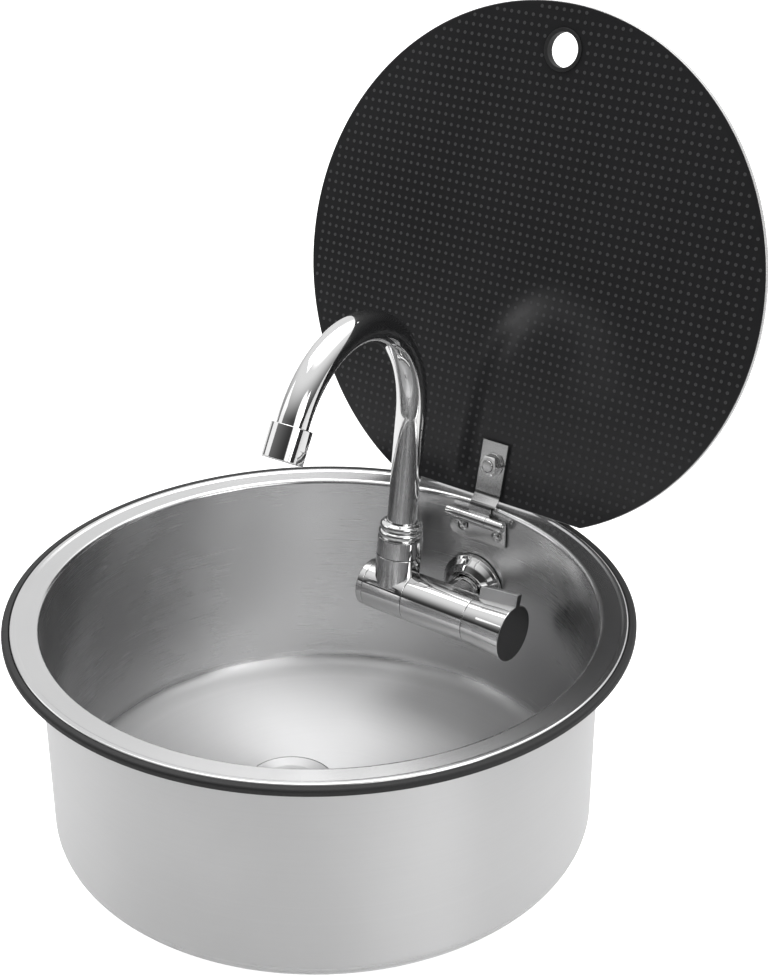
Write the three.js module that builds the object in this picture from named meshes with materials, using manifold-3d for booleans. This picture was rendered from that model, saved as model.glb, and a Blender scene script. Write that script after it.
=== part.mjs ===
// Round drop-in sink for a camper van, with a hinged glass lid and a fold-down tap.
// Millimetres, +Z up, +Y towards the lid hinge, origin at the centre of the seat plane, which is
// the underside of the rim gasket where it lies on the worktop.
import * as THREE from 'three';
import { mergeVertices } from 'three/addons/utils/BufferGeometryUtils.js';
import Module from 'manifold-3d';

const wasm = await Module();
wasm.setup();

// ---------- driving dimensions ----------
const GAP = 0.3;                 // clearance kept between pieces that touch
const TURN = Math.PI * 2;
const STEPS = 18;                // flats round a turned piece
const SMALL_STEPS = 12;          // flats round a screw, a bolt or its hole

const SHEET = 0.8;               // steel of the bowl
const RIM_TOP = 4.9;             // top of the rim bead above the worktop
const LEDGE_TOP = 4.1;           // ledge that the glass closes on
const RIM_RADIUS = 190.2;        // outer edge of the steel rim
const WALL_RADIUS = 173.3;       // outside of the bowl wall
const BOWL_DEPTH = 149.1;        // underside of the floor below the worktop
const CORNER_RADIUS = 16;        // between wall and floor, outside
const LEDGE_BEND = 2.6;          // between ledge and wall, at the middle of the sheet
const BEAD_WIDTH = 3.8;          // raised bead round the edge of the rim
const BEAD_BEND = 1.4;
const BOWL_STEPS = 44;

const GASKET_RADIUS = 195;
const GASKET_TOP = 4.6;
const GASKET_WEB = 1.2;          // rubber under the steel rim
const GASKET_WEB_RADIUS = 183;

const HINGE_X = 3.1;             // centre of the hinge across the bowl
const PIN_Y = 165.9;
const PIN_Z = -4.9;
const PIN_RADIUS = 2.3;
const KNUCKLE_RADIUS = 4;
const BARREL_LENGTH = 45.8;
const ROLL_LEFT = -11;            // ends of the strap's knuckle, from the middle of the hinge
const ROLL_RIGHT = 9.3;
const STRAP_X = 5.8;              // centre of the strap and its bolt across the bowl
const STRAP_WIDTH = 20;
const LEAF_THICKNESS = 1.6;
const LEAF_DROP = 17.9;          // lower edge of the leaf below the pin
const LEAF_TOP = 4.8;             // upper edge of the leaf below the pin
const LEAF_CORNER = 11;
const LEAF_SCREW_X = [-9.4, 19.2];
const LEAF_SCREW_DROP = 10;
const LEAF_SCREW_RADIUS = 2;

const LID_OPEN = 103.6;          // degrees that the lid opens from flat
const LID_X = 2.2;               // centre of the glass across the bowl
const LID_RADIUS = 174.8;
const GLASS = 4;
const LID_REACH = 170.9;         // from the pin to the centre of the glass
const LID_RISE = 11.4;           // middle of the glass above the pin when closed
const CHORD_REACH = 13.6;        // from the pin to the straight edge of the glass
const PAD_REACH = 18.5;
const STRAP_THICKNESS = 1.8;
const STRAP_END = 54.6;
const BOLT_REACH = 38.5;
const BOLT_RADIUS = 4;
const NUT_FLATS = 13;
const NUT_HEIGHT = 4;
const BOLT_END = 1;               // bolt beyond its nut
const FINGER_REACH = 316.1;      // from the pin to the middle of the finger hole
const FINGER_X = 6.3;
const FINGER_RADIUS = 11.2;
const GROMMET_RADIUS = 13.8;

const TAP_Y = 132.7;               // axis of the tap body, parallel to the hinge
const TAP_Z = -60.7;
const BODY_RADIUS = 17.2;
const BODY_LEFT = -24.1;
const BODY_RIGHT = 26.2;
const SHANK_RADIUS = 10.4;
const SHANK_END_Y = 212;
const WATERWAY = 5;
const FLANGE_RADIUS = 24;
const KNOB_RADIUS = 19.9;         // at its end face, flared from the radius of the body
const KNOB_LENGTH = 31.5;
const FIN_LEAN = 13.8;            // degrees that the knob's fin leans towards the wall
const FIN_THICKNESS = 6;
const FIN_REACH = 28.2;           // from the axis to the tip of the fin
const CAP_DEPTH = 2.4;
const SOCKET_LEFT = -57.3;
const SOCKET_RIGHT = BODY_LEFT - GAP;
const END_CAP_LEFT = -62.6;

const RISER_X = -39.5;           // axis of the riser, square to the body
const RISER_LEAN = 7.3;          // degrees that the riser leans back when it stands up
const SPOUT_TURN = 5.1;          // degrees that the spout stands turned towards the knob
const CUP_TOP = 28.4;            // along the riser, from the body axis
const CUP_RADIUS = 15.8;
const THREAD_TOP = CUP_TOP + 6;
const COLLAR_TOP = 41.6;
const NUT_BEADS = [[44.9, 15.6], [50, 14.8]];
const BEAD_RADIUS = 2.5;
const NUT_TOP = 53.2;
const RISER_BOTTOM = 30;
const RISER_TOP = 129.8;
const NECK_RADIUS = 75.8;
const NECK_SWEEP = 155.4;        // degrees of the bend
const TUBE_RADIUS = 10.4;
const TUBE_WALL = 1.4;
const TUBE_TAIL = 11;            // straight end behind the bend
const AERATOR_RADIUS = 13.3;
const AERATOR_LENGTH = 22;

const DRAIN_X = -34;
const DRAIN_Y = 6;
const DRAIN_RADIUS = 28;
const DRAIN_BORE = 17;
const DRAIN_TUBE = 19.2;
const DRAIN_HOLE = 20;           // hole through the bowl
const DRAIN_RECESS = 2.6;
const TAIL_BORE = 10.5;
const TAIL_END = -214;

// ---------- materials ----------
const finish = (color, roughness, metalness) =>
  new THREE.MeshStandardMaterial({ color, roughness, metalness });
const SATIN_STEEL = finish(0xb9babd, 0.35, 1);
const BRIGHT_STEEL = finish(0xc9cacc, 0.22, 1);
const CHROME = finish(0xd8d9dc, 0.08, 1);
const RUBBER = finish(0x1c1c1e, 0.75, 0);
const BLACK_GLASS = finish(0x18181a, 0.12, 0);
const BLACK_PLASTIC = finish(0x202022, 0.5, 0);
const WHITE_PLASTIC = finish(0xd9d9d6, 0.55, 0);
const GREY_PLASTIC = finish(0x6f7073, 0.55, 0);
const BRASS = finish(0xb08d4f, 0.35, 1);

// ---------- building blocks ----------
const radians = THREE.MathUtils.degToRad;
const v2 = (x, y) => new THREE.Vector2(x, y);

/** Points along an arc between two angles in degrees, both ends included. */
function arcPoints(x, y, radius, from, to, parts) {
  return Array.from({ length: parts + 1 }, (_, i) => {
    const angle = radians(from + ((to - from) * i) / parts);
    return v2(x + radius * Math.cos(angle), y + radius * Math.sin(angle));
  });
}

/** Weld a geometry, drop its flat triangles and turn its faces outwards. */
function closed(geometry) {
  const plain = geometry.index ? geometry.toNonIndexed() : geometry;
  plain.deleteAttribute('normal');
  plain.deleteAttribute('uv');
  const welded = mergeVertices(plain, 1e-4);
  const position = welded.getAttribute('position');
  const corners = [];
  const a = new THREE.Vector3();
  const b = new THREE.Vector3();
  const c = new THREE.Vector3();
  let volume = 0;
  for (let i = 0; i < welded.index.count; i += 3) {
    const [p, q, r] = [0, 1, 2].map((k) => welded.index.getX(i + k));
    if (p === q || q === r || r === p) continue;
    corners.push(p, q, r);
    a.fromBufferAttribute(position, p);
    b.fromBufferAttribute(position, q);
    c.fromBufferAttribute(position, r);
    volume += a.dot(b.cross(c));
  }
  if (volume < 0) corners.reverse();
  const solid = new THREE.BufferGeometry();
  solid.setAttribute('position', position);
  solid.setIndex(corners);
  return solid;
}

/** Turn a profile of (radius, height) points about the Z axis. */
function revolve(profile, steps = STEPS) {
  const turned = new THREE.LatheGeometry(profile, steps);
  turned.rotateX(Math.PI / 2);
  return closed(turned);
}

/** A ring with a square section, between two radii and two heights. */
function ring(inner, outer, low, high, steps = STEPS) {
  return revolve([v2(inner, low), v2(outer, low), v2(outer, high), v2(inner, high), v2(inner, low)], steps);
}

/** A round bar along Z with chamfered ends. */
function bar(radius, low, high, steps = STEPS, chamfer = 0.4) {
  return revolve([v2(0, low), v2(radius - chamfer, low), v2(radius, low + chamfer),
    v2(radius, high - chamfer), v2(radius - chamfer, high), v2(0, high)], steps);
}

/** A plate of the given outline, from z = low to z = high, with a small bevel. */
function plate(shape, low, high, bevel = 0, curveSegments = 9) {
  const flat = new THREE.ExtrudeGeometry(shape, {
    depth: high - low - 2 * bevel, bevelEnabled: bevel > 0, bevelThickness: bevel,
    bevelSize: bevel, bevelOffset: -bevel, bevelSegments: 1, curveSegments });
  flat.translate(0, 0, low + bevel);
  return closed(flat);
}

/** Turn a solid made along Z so that it lies along X. */
const alongX = (geometry) => geometry.rotateY(Math.PI / 2);
/** Turn a solid made along Z so that it lies along Y, pointing away from the bowl's centre. */
const alongY = (geometry) => geometry.rotateX(-Math.PI / 2);

function toManifold(geometry) {
  const solid = closed(geometry.clone());
  return new wasm.Manifold(new wasm.Mesh({
    numProp: 3,
    vertProperties: new Float32Array(solid.getAttribute('position').array),
    triVerts: new Uint32Array(solid.index.array) }));
}

function fromManifold(manifold) {
  const mesh = manifold.getMesh();
  const geometry = new THREE.BufferGeometry();
  geometry.setAttribute('position', new THREE.BufferAttribute(mesh.vertProperties, 3));
  geometry.setIndex(new THREE.BufferAttribute(mesh.triVerts, 1));
  return geometry;
}

/** The first solid with others joined to it, and then others cut from it. */
function combine(base, joined, cut = []) {
  let solid = toManifold(base);
  for (const piece of joined) solid = solid.add(toManifold(piece));
  for (const piece of cut) solid = solid.subtract(toManifold(piece));
  return fromManifold(solid);
}

/** The closed outline of a bent sheet, from the line down its middle. */
function sheetOutline(middle, thickness) {
  const offset = (side) => middle.map((point, i) => {
    const before = middle[Math.max(i - 1, 0)];
    const after = middle[Math.min(i + 1, middle.length - 1)];
    const along = v2(after.x - before.x, after.y - before.y).normalize();
    return v2(Math.max(point.x - along.y * side, 0), point.y + along.x * side);
  });
  const near = offset(thickness / 2);
  const far = offset(-thickness / 2);
  return [...near, ...far.reverse()];
}

/** The corners of a regular polygon. */
function polygon(x, y, radius, steps) {
  return arcPoints(x, y, radius, 0, 360 - 360 / steps, steps - 1);
}

const disc = (radius, steps = STEPS) => new THREE.Shape(polygon(0, 0, radius, steps));
/** A hexagon with the given width across flats. */
const hexagon = (flats) => disc(flats / Math.sqrt(3), 6);

function withRoundHole(shape, x, y, radius, steps = SMALL_STEPS) {
  shape.holes.push(new THREE.Path(polygon(x, y, radius, steps)));
  return shape;
}

const model = new THREE.Group();

function place(group, name, geometry, material) {
  const mesh = new THREE.Mesh(geometry, material);
  mesh.name = name;
  group.add(mesh);
  return mesh;
}

// ---------- bowl and gasket ----------
function bowlShell() {
  const half = SHEET / 2;
  const floor = -BOWL_DEPTH + half;
  const wall = WALL_RADIUS - half;
  const corner = CORNER_RADIUS - half;
  const ledge = LEDGE_TOP - half;
  const bead = RIM_TOP - half;
  const edge = RIM_RADIUS - half;
  const outline = sheetOutline([v2(0, floor),
    ...arcPoints(wall - corner, floor + corner, corner, -90, 0, 4),
    ...arcPoints(wall + LEDGE_BEND, ledge - LEDGE_BEND, LEDGE_BEND, 180, 90, 2),
    v2(edge - BEAD_WIDTH, ledge), v2(edge - BEAD_WIDTH + BEAD_BEND, bead),
    ...arcPoints(edge - BEAD_BEND, bead - BEAD_BEND, BEAD_BEND, 90, 0, 2),
    v2(edge, GASKET_WEB + GAP)], SHEET);
  outline.push(outline[0].clone());
  return revolve(outline, BOWL_STEPS);
}

/** Pressed dish that the drain sits in, lapped under the edge of the floor. */
function drainRecess() {
  const floor = -BOWL_DEPTH + SHEET / 2;
  const low = floor - DRAIN_RECESS;
  const lap = floor - 0.5;
  const middle = [v2(DRAIN_HOLE, low), v2(DRAIN_RADIUS + 1, low), v2(DRAIN_RADIUS + 2.6, low + 0.5),
    v2(DRAIN_RADIUS + 4.4, lap - 0.4), v2(DRAIN_RADIUS + 5.6, lap), v2(DRAIN_RADIUS + 7.4, lap)];
  const outline = sheetOutline(middle, SHEET);
  outline.push(outline[0].clone());
  return revolve(outline).translate(DRAIN_X, DRAIN_Y, 0);
}

function sinkBowl() {
  const opening = bar(DRAIN_RADIUS + 6, -BOWL_DEPTH - 2, -BOWL_DEPTH + 4, STEPS, 0)
    .translate(DRAIN_X, DRAIN_Y, 0);
  const tapHole = alongY(bar(SHANK_RADIUS + 0.5, 160, 186, STEPS, 0)).translate(0, 0, TAP_Z);
  const screwHole = (across) => alongY(bar(LEAF_SCREW_RADIUS + 0.35, 160, 186, SMALL_STEPS, 0))
    .translate(across, 0, PIN_Z - LEAF_SCREW_DROP);
  const shell = toManifold(bowlShell()).subtract(toManifold(opening)).add(toManifold(drainRecess()));
  return fromManifold([tapHole, ...LEAF_SCREW_X.map(screwHole)]
    .reduce((solid, hole) => solid.subtract(toManifold(hole)), shell));
}

function rimGasket() {
  const inner = RIM_RADIUS + GAP;
  return revolve([v2(GASKET_WEB_RADIUS, 0), v2(GASKET_RADIUS, 0), v2(GASKET_RADIUS, GASKET_TOP - 1.5),
    v2(GASKET_RADIUS - 1.3, GASKET_TOP), v2(inner, GASKET_TOP), v2(inner, GASKET_WEB),
    v2(GASKET_WEB_RADIUS, GASKET_WEB), v2(GASKET_WEB_RADIUS, 0)], BOWL_STEPS);
}

place(model, 'sink_bowl', sinkBowl(), SATIN_STEEL);
place(model, 'rim_gasket', rimGasket(), RUBBER);

// ---------- hinge leaf on the wall ----------
// The wall is turned in flat steps, so its inside is nearest to the axis halfway along a step.
const wallInside = (WALL_RADIUS - SHEET) * Math.cos(Math.PI / BOWL_STEPS);

/** A plate bent to the wall, seen from above as an arc and cut to its outline from the front. */
function bentPlate(outline, inner, outer) {
  const half = Math.asin(40 / inner);
  const arc = new THREE.Shape();
  arc.absarc(0, 0, outer, Math.PI / 2 - half, Math.PI / 2 + half, false);
  arc.absarc(0, 0, inner, Math.PI / 2 + half, Math.PI / 2 - half, true);
  arc.closePath();
  const curved = toManifold(plate(arc, -60, 20, 0, 8));
  const front = toManifold(plate(outline, 150, 200).rotateX(Math.PI / 2).scale(1, -1, 1));
  return fromManifold(curved.intersect(front));
}

/** Rolled end of a hinge plate round the pin: a ring with a short web, from x = left to right. */
function knuckle(left, right, webY, webLow) {
  const shape = new THREE.Shape();
  shape.absarc(0, 0, KNUCKLE_RADIUS, -Math.PI / 2, Math.PI, false);
  shape.lineTo(-KNUCKLE_RADIUS, -1);
  shape.lineTo(-1, -KNUCKLE_RADIUS);
  const roll = alongX(plate(shape, left, right, 0, 9));
  const web = new THREE.BoxGeometry(right - left, LEAF_THICKNESS, -webLow);
  web.translate((left + right) / 2, webY, webLow / 2);
  return [roll, web];
}

function hingeLeaf() {
  const outer = wallInside - GAP;
  const inner = outer - LEAF_THICKNESS;
  const half = BARREL_LENGTH / 2;
  const outline = new THREE.Shape();
  const left = HINGE_X - half;
  const right = HINGE_X + half;
  outline.moveTo(left, -LEAF_TOP);
  outline.lineTo(left, -LEAF_DROP + LEAF_CORNER);
  outline.absarc(left + LEAF_CORNER, -LEAF_DROP + LEAF_CORNER, LEAF_CORNER, Math.PI, Math.PI * 1.5, false);
  outline.lineTo(right - 1, -LEAF_DROP);
  outline.lineTo(right, -LEAF_DROP + 1);
  outline.lineTo(right, -LEAF_TOP);
  for (const across of LEAF_SCREW_X) {
    withRoundHole(outline, across, -LEAF_SCREW_DROP, LEAF_SCREW_RADIUS + 0.35);
  }
  const bent = bentPlate(outline, inner, outer).translate(0, 0, PIN_Z);
  // The webs end above the screw heads, and the wall curves towards the right one.
  const webLow = -LEAF_TOP - 1;
  const rolls = [...knuckle(-half, ROLL_LEFT - GAP, 3.6, webLow), ...knuckle(ROLL_RIGHT + GAP, half, 3.1, webLow)]
    .map((piece) => piece.translate(HINGE_X, PIN_Y, PIN_Z));
  const bore = alongX(bar(PIN_RADIUS + GAP, -40, 40, SMALL_STEPS, 0)).translate(HINGE_X, PIN_Y, PIN_Z);
  return combine(bent, rolls, [bore]);
}

function leafScrew() {
  const head = 3.9;
  return alongY(revolve([v2(0, -1.9), v2(2, -1.75), v2(3.2, -1.2), v2(head, -0.2), v2(head, 0),
    v2(LEAF_SCREW_RADIUS, 0), v2(LEAF_SCREW_RADIUS, 9), v2(LEAF_SCREW_RADIUS - 0.4, 9.4), v2(0, 9.4)], SMALL_STEPS));
}

place(model, 'hinge_leaf', hingeLeaf(), BRIGHT_STEEL);
place(model, 'hinge_pin', alongX(bar(PIN_RADIUS, -BARREL_LENGTH / 2 - 0.8, BARREL_LENGTH / 2 + 0.8, SMALL_STEPS))
  .translate(HINGE_X, PIN_Y, PIN_Z), BRIGHT_STEEL);
for (const [index, label] of ['left', 'right'].entries()) {
  const across = LEAF_SCREW_X[index];
  const low = PIN_Z - LEAF_SCREW_DROP;
  const face = Math.sqrt((wallInside - GAP - LEAF_THICKNESS) ** 2 - across ** 2) - GAP - 0.45;
  place(model, `leaf_screw_${label}`, leafScrew(), BRIGHT_STEEL).position.set(across, face, low);
  const back = Math.sqrt(WALL_RADIUS ** 2 - across ** 2) + GAP + 0.6;
  place(model, `leaf_nut_${label}`,
    alongY(plate(withRoundHole(hexagon(7), 0, 0, LEAF_SCREW_RADIUS + GAP), 0, 3.2)), BRIGHT_STEEL)
    .position.set(across, back, low);
}

// ---------- lid, drawn flat with the pin at its origin, then swung open ----------
const lid = new THREE.Group();
lid.position.set(0, PIN_Y, PIN_Z);
lid.rotation.x = -radians(LID_OPEN);
model.add(lid);

const glassUnder = LID_RISE - GLASS / 2;
const glassOver = LID_RISE + GLASS / 2;

/** A round outline with one side cut straight, which faces the hinge. */
function lidShape(radius, chordReach) {
  const end = THREE.MathUtils.radToDeg(Math.acos((LID_REACH - chordReach) / radius));
  return new THREE.Shape(arcPoints(LID_X, -LID_REACH, radius, 90 + end, 450 - end, 42));
}

function glassLid() {
  const shape = lidShape(LID_RADIUS, CHORD_REACH);
  withRoundHole(shape, STRAP_X, -BOLT_REACH, BOLT_RADIUS + 1);
  withRoundHole(shape, FINGER_X, -FINGER_REACH, GROMMET_RADIUS - 1.4, STEPS);
  return plate(shape, glassUnder, glassOver, 0.7);
}

function fingerGrommet() {
  const waist = GROMMET_RADIUS - 1.7;
  const face = GLASS / 2 + GAP;
  const lip = face + 1;
  return revolve([v2(FINGER_RADIUS, -lip + 0.4), v2(FINGER_RADIUS + 0.4, -lip), v2(GROMMET_RADIUS - 0.5, -lip),
    v2(GROMMET_RADIUS, -face), v2(waist, -face), v2(waist, face), v2(GROMMET_RADIUS, face),
    v2(GROMMET_RADIUS - 0.5, lip), v2(FINGER_RADIUS + 0.4, lip), v2(FINGER_RADIUS, lip - 0.4),
    v2(FINGER_RADIUS, -lip + 0.4)]).translate(FINGER_X, -FINGER_REACH, LID_RISE);
}

const padTop = glassUnder - GAP;
const padLow = padTop - 0.6;
const strapTop = padLow - GAP;
const strapLow = strapTop - STRAP_THICKNESS;

/** Rolled round the pin, then cranked up to lie under the glass: a side outline across the hinge. */
function hingeStrap() {
  const middle = (strapTop + strapLow) / 2;
  const tangent = KNUCKLE_RADIUS - STRAP_THICKNESS / 2 - 0.2;
  const side = sheetOutline([v2(0, tangent), v2(9, tangent), v2(10.4, tangent + 0.25), v2(11.7, tangent + 0.9),
    v2(15.5, middle - 0.9), v2(16.8, middle - 0.25), v2(18.2, middle), v2(STRAP_END, middle)], STRAP_THICKNESS);
  const left = STRAP_X - STRAP_WIDTH / 2;
  const right = STRAP_X + STRAP_WIDTH / 2;
  const crank = plate(new THREE.Shape(side), left, right);
  // Beside its knuckle the strap is cut away, clear of the leaf and of the bowl's edge.
  const notch = bar(10.5, HINGE_X + ROLL_RIGHT, right + 1, STEPS, 0);
  const roll = bar(KNUCKLE_RADIUS, HINGE_X + ROLL_LEFT, HINGE_X + ROLL_RIGHT, SMALL_STEPS, 0);
  const bore = bar(PIN_RADIUS + GAP, left - STRAP_WIDTH, right + STRAP_WIDTH, SMALL_STEPS, 0);
  const flat = combine(combine(crank, [], [notch]), [roll], [bore]);
  // Turned from (reach, height, across) to the lid's own axes.
  flat.applyMatrix4(new THREE.Matrix4().set(0, 0, 1, 0, -1, 0, 0, 0, 0, 1, 0, 0, 0, 0, 0, 1));
  const hole = bar(BOLT_RADIUS + 0.5, strapLow - 1, strapTop + 1, SMALL_STEPS, 0).translate(STRAP_X, -BOLT_REACH, 0);
  return combine(flat, [], [hole]);
}

function strapPad() {
  const half = STRAP_WIDTH / 2 - 0.5;
  const shape = new THREE.Shape();
  shape.moveTo(-half, -STRAP_END + 0.5);
  shape.lineTo(half, -STRAP_END + 0.5);
  shape.lineTo(half, -PAD_REACH);
  shape.lineTo(-half, -PAD_REACH);
  shape.closePath();
  withRoundHole(shape, 0, -BOLT_REACH, BOLT_RADIUS + 0.5);
  return plate(shape, padLow, padTop).translate(STRAP_X, 0, 0);
}

const washerLow = strapLow - GAP - 1.2;
const nutLow = washerLow - GAP - NUT_HEIGHT;
const boltLow = nutLow - BOLT_END;
const topWasher = glassOver + GAP;

/** Coach bolt through the glass, with its flat round head outside. */
function lidBolt() {
  const headLow = topWasher + 1.2 + GAP;
  return revolve([v2(0, boltLow), v2(BOLT_RADIUS - 0.6, boltLow), v2(BOLT_RADIUS, boltLow + 0.6),
    v2(BOLT_RADIUS, headLow), v2(9, headLow), v2(9, headLow + 0.8), v2(7.4, headLow + 2.1),
    v2(4.4, headLow + 2.9), v2(0, headLow + 3.2)]);
}

place(lid, 'glass_lid', glassLid(), BLACK_GLASS);
place(lid, 'finger_grommet', fingerGrommet(), RUBBER);
place(lid, 'hinge_strap', hingeStrap(), BRIGHT_STEEL);
place(lid, 'strap_pad', strapPad(), RUBBER);
for (const [name, geometry, material] of [
  ['lid_bolt', lidBolt(), BRIGHT_STEEL],
  ['lid_bolt_washer', ring(BOLT_RADIUS + GAP, 10, topWasher, topWasher + 1.2), RUBBER],
  ['lid_nut_washer', ring(BOLT_RADIUS + GAP, 8.4, washerLow, washerLow + 1.2), BRIGHT_STEEL],
  ['lid_nut', plate(withRoundHole(hexagon(NUT_FLATS), 0, 0, BOLT_RADIUS + GAP), nutLow, nutLow + NUT_HEIGHT),
    BRIGHT_STEEL]]) {
  place(lid, name, geometry, material).position.set(STRAP_X, -BOLT_REACH, 0);
}

// ---------- tap body through the wall ----------
const tap = new THREE.Group();
tap.position.set(0, TAP_Y, TAP_Z);
model.add(tap);

const CARTRIDGE_RADIUS = 11.4;
const CARTRIDGE_LEFT = -8;
const SPIGOT_RADIUS = 8.6;
const SPIGOT_LEFT_X = BODY_LEFT + 13;

function valveBody() {
  const barrel = alongX(bar(BODY_RADIUS, BODY_LEFT, BODY_RIGHT, STEPS, 0.5));
  const shank = alongY(bar(SHANK_RADIUS, 6, SHANK_END_Y - TAP_Y, STEPS, 0.8));
  const neck = alongY(bar(SHANK_RADIUS + 1.6, 6, 30, STEPS, 0.8));
  const cartridgeBore = alongX(bar(CARTRIDGE_RADIUS + GAP, CARTRIDGE_LEFT, BODY_RIGHT + 5, STEPS, 0));
  const spigotBore = alongX(bar(SPIGOT_RADIUS + 0.6, BODY_LEFT - 5, SPIGOT_LEFT_X, STEPS, 0));
  const link = alongX(bar(WATERWAY, BODY_LEFT, 0, SMALL_STEPS, 0));
  const inlet = alongY(bar(WATERWAY + 1.5, 0, SHANK_END_Y, SMALL_STEPS, 0));
  return combine(barrel, [shank, neck], [cartridgeBore, spigotBore, link, inlet]);
}

const wallFromTap = wallInside - TAP_Y;

/** Domed cover ring, hollowed to seat on the curved wall. */
function wallFlange() {
  const bore = SHANK_RADIUS + GAP + 1.9;
  const face = wallFromTap - GAP;
  const dome = alongY(revolve([v2(bore, face - 11), v2(bore + 2.6, face - 10.6), v2(FLANGE_RADIUS - 6.6, face - 8.6),
    v2(FLANGE_RADIUS - 3, face - 6), v2(FLANGE_RADIUS - 0.8, face - 3.4), v2(FLANGE_RADIUS, face - 2.4),
    v2(FLANGE_RADIUS, face + 0.5),
    v2(SHANK_RADIUS + GAP, face + 0.5), v2(SHANK_RADIUS + GAP, face - 8), v2(bore, face - 8),
    v2(bore, face - 11)]));
  const wall = toManifold(bar(wallInside - GAP, -60, 60, 2 * BOWL_STEPS, 0).translate(0, -TAP_Y, 0));
  return fromManifold(toManifold(dome).intersect(wall));
}

/** Soft washer cut to the curve of the wall's back. */
function shankSeal() {
  const back = WALL_RADIUS - TAP_Y;
  const disc = alongY(ring(SHANK_RADIUS + GAP, 17, back - 3, back + 3));
  const wall = bar(WALL_RADIUS + GAP + 0.1, -60, 60, 2 * BOWL_STEPS, 0).translate(0, -TAP_Y, 0);
  return combine(disc, [], [wall]);
}

function cartridgeBody() {
  const right = BODY_RIGHT - 2;
  return alongX(revolve([v2(0, CARTRIDGE_LEFT + GAP), v2(CARTRIDGE_RADIUS, CARTRIDGE_LEFT + GAP),
    v2(CARTRIDGE_RADIUS, right), v2(9, right), v2(9, right - 4), v2(0, right - 4)]));
}

function cartridgeStem() {
  const left = BODY_RIGHT - 6 + GAP;
  return alongX(revolve([v2(0, left), v2(7, left), v2(7, left + 5), v2(4, left + 5.6), v2(4, left + 24),
    v2(3.6, left + 24.4), v2(1.9, left + 24.4), v2(1.9, left + 14), v2(0, left + 14)], SMALL_STEPS));
}

place(tap, 'valve_body', valveBody(), CHROME);
place(tap, 'wall_flange', wallFlange(), CHROME);
place(tap, 'shank_seal', shankSeal(), RUBBER);
const washerY = WALL_RADIUS - TAP_Y + 3 + GAP;
place(tap, 'shank_washer', alongY(ring(SHANK_RADIUS + GAP, 18, washerY, washerY + 1.6)), BRIGHT_STEEL);
place(tap, 'shank_nut', alongY(plate(withRoundHole(hexagon(30), 0, 0, SHANK_RADIUS + GAP, STEPS),
  washerY + 1.6 + GAP, washerY + 9.6, 0)), BRASS);
place(tap, 'cartridge_body', cartridgeBody(), WHITE_PLASTIC);
place(tap, 'cartridge_stem', cartridgeStem(), BRASS);
place(tap, 'cartridge_ring', alongX(ring(9.3, CARTRIDGE_RADIUS, BODY_RIGHT - 2 + GAP, BODY_RIGHT)), BRASS);

// ---------- knob ----------
const KNOB_LEFT = BODY_RIGHT + GAP;
const KNOB_RIGHT = KNOB_LEFT + KNOB_LENGTH;

/** Round outline with the fin standing out along +X. */
function knobEnd(radius, halfFin, reach) {
  const foot = THREE.MathUtils.radToDeg(Math.asin(halfFin / radius));
  return new THREE.Shape([...arcPoints(0, 0, radius, foot, 360 - foot, 16),
    v2(reach - 1, -halfFin), v2(reach, 1 - halfFin), v2(reach, halfFin - 1), v2(reach - 1, halfFin)]);
}

/** Flared barrel with one fin, and a seat in its end face for the dark insert. */
function knobBody() {
  const length = KNOB_LENGTH;
  const barrel = revolve([v2(0, 0), v2(BODY_RADIUS - 0.3, 0), v2(BODY_RADIUS, 0.3), v2(17.8, 10), v2(18.8, 20),
    v2(KNOB_RADIUS, length - 0.5), v2(KNOB_RADIUS - 0.5, length), v2(0, length)]);
  const side = new THREE.Shape([v2(2.5, 8), v2(length, 8), v2(length, FIN_REACH), v2(4, FIN_REACH - 2.2),
    v2(2.5, FIN_REACH - 3.7)]);
  const fin = plate(side, -FIN_THICKNESS / 2, FIN_THICKNESS / 2, 0.6);
  // Turned from (length, radius, across) to the knob's own axes.
  fin.applyMatrix4(new THREE.Matrix4().set(0, 1, 0, 0, 0, 0, 1, 0, 1, 0, 0, 0, 0, 0, 0, 1));
  const capSeat = plate(knobEnd(KNOB_RADIUS - 0.6, FIN_THICKNESS / 2 - 0.6, FIN_REACH - 0.7), length - CAP_DEPTH,
    length + 5);
  const stemBore = bar(4 + GAP, -5, length - 9, SMALL_STEPS, 0);
  const shoulder = bar(7.6, -5, 6.4, STEPS, 0);
  const screwSeat = bar(4.4, length - 8.6, length + 5, SMALL_STEPS, 0);
  const screwBore = bar(1.9 + GAP, length - 12, length, SMALL_STEPS, 0);
  const solid = combine(barrel, [fin], [stemBore, shoulder, capSeat, screwSeat, screwBore]);
  return alongX(solid.rotateZ(radians(180 - FIN_LEAN))).translate(KNOB_LEFT, 0, 0);
}

/** Dark insert that fills the end face, fin included. */
function knobCap() {
  const outline = knobEnd(KNOB_RADIUS - 0.9, FIN_THICKNESS / 2 - 0.9, FIN_REACH - 1);
  const insert = plate(outline, KNOB_RIGHT - CAP_DEPTH + GAP, KNOB_RIGHT, 0.3);
  return alongX(insert.rotateZ(radians(180 - FIN_LEAN)));
}

place(tap, 'knob', knobBody(), CHROME);
place(tap, 'knob_cap', knobCap(), BLACK_PLASTIC);
place(tap, 'knob_screw', alongX(revolve([v2(0, KNOB_RIGHT - 18), v2(1.6, KNOB_RIGHT - 18),
  v2(1.6, KNOB_RIGHT - 8.2), v2(3.6, KNOB_RIGHT - 8.2), v2(3.6, KNOB_RIGHT - 6), v2(2.8, KNOB_RIGHT - 5.4),
  v2(0, KNOB_RIGHT - 5.4)], SMALL_STEPS)), BRIGHT_STEEL);

// ---------- swing arm and spout, leaning back with the riser along its own Z ----------
const arm = new THREE.Group();
arm.rotation.x = -radians(RISER_LEAN);
tap.add(arm);
const spout = new THREE.Group();
spout.position.x = RISER_X;
spout.rotation.z = radians(SPOUT_TURN);
arm.add(spout);

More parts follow.
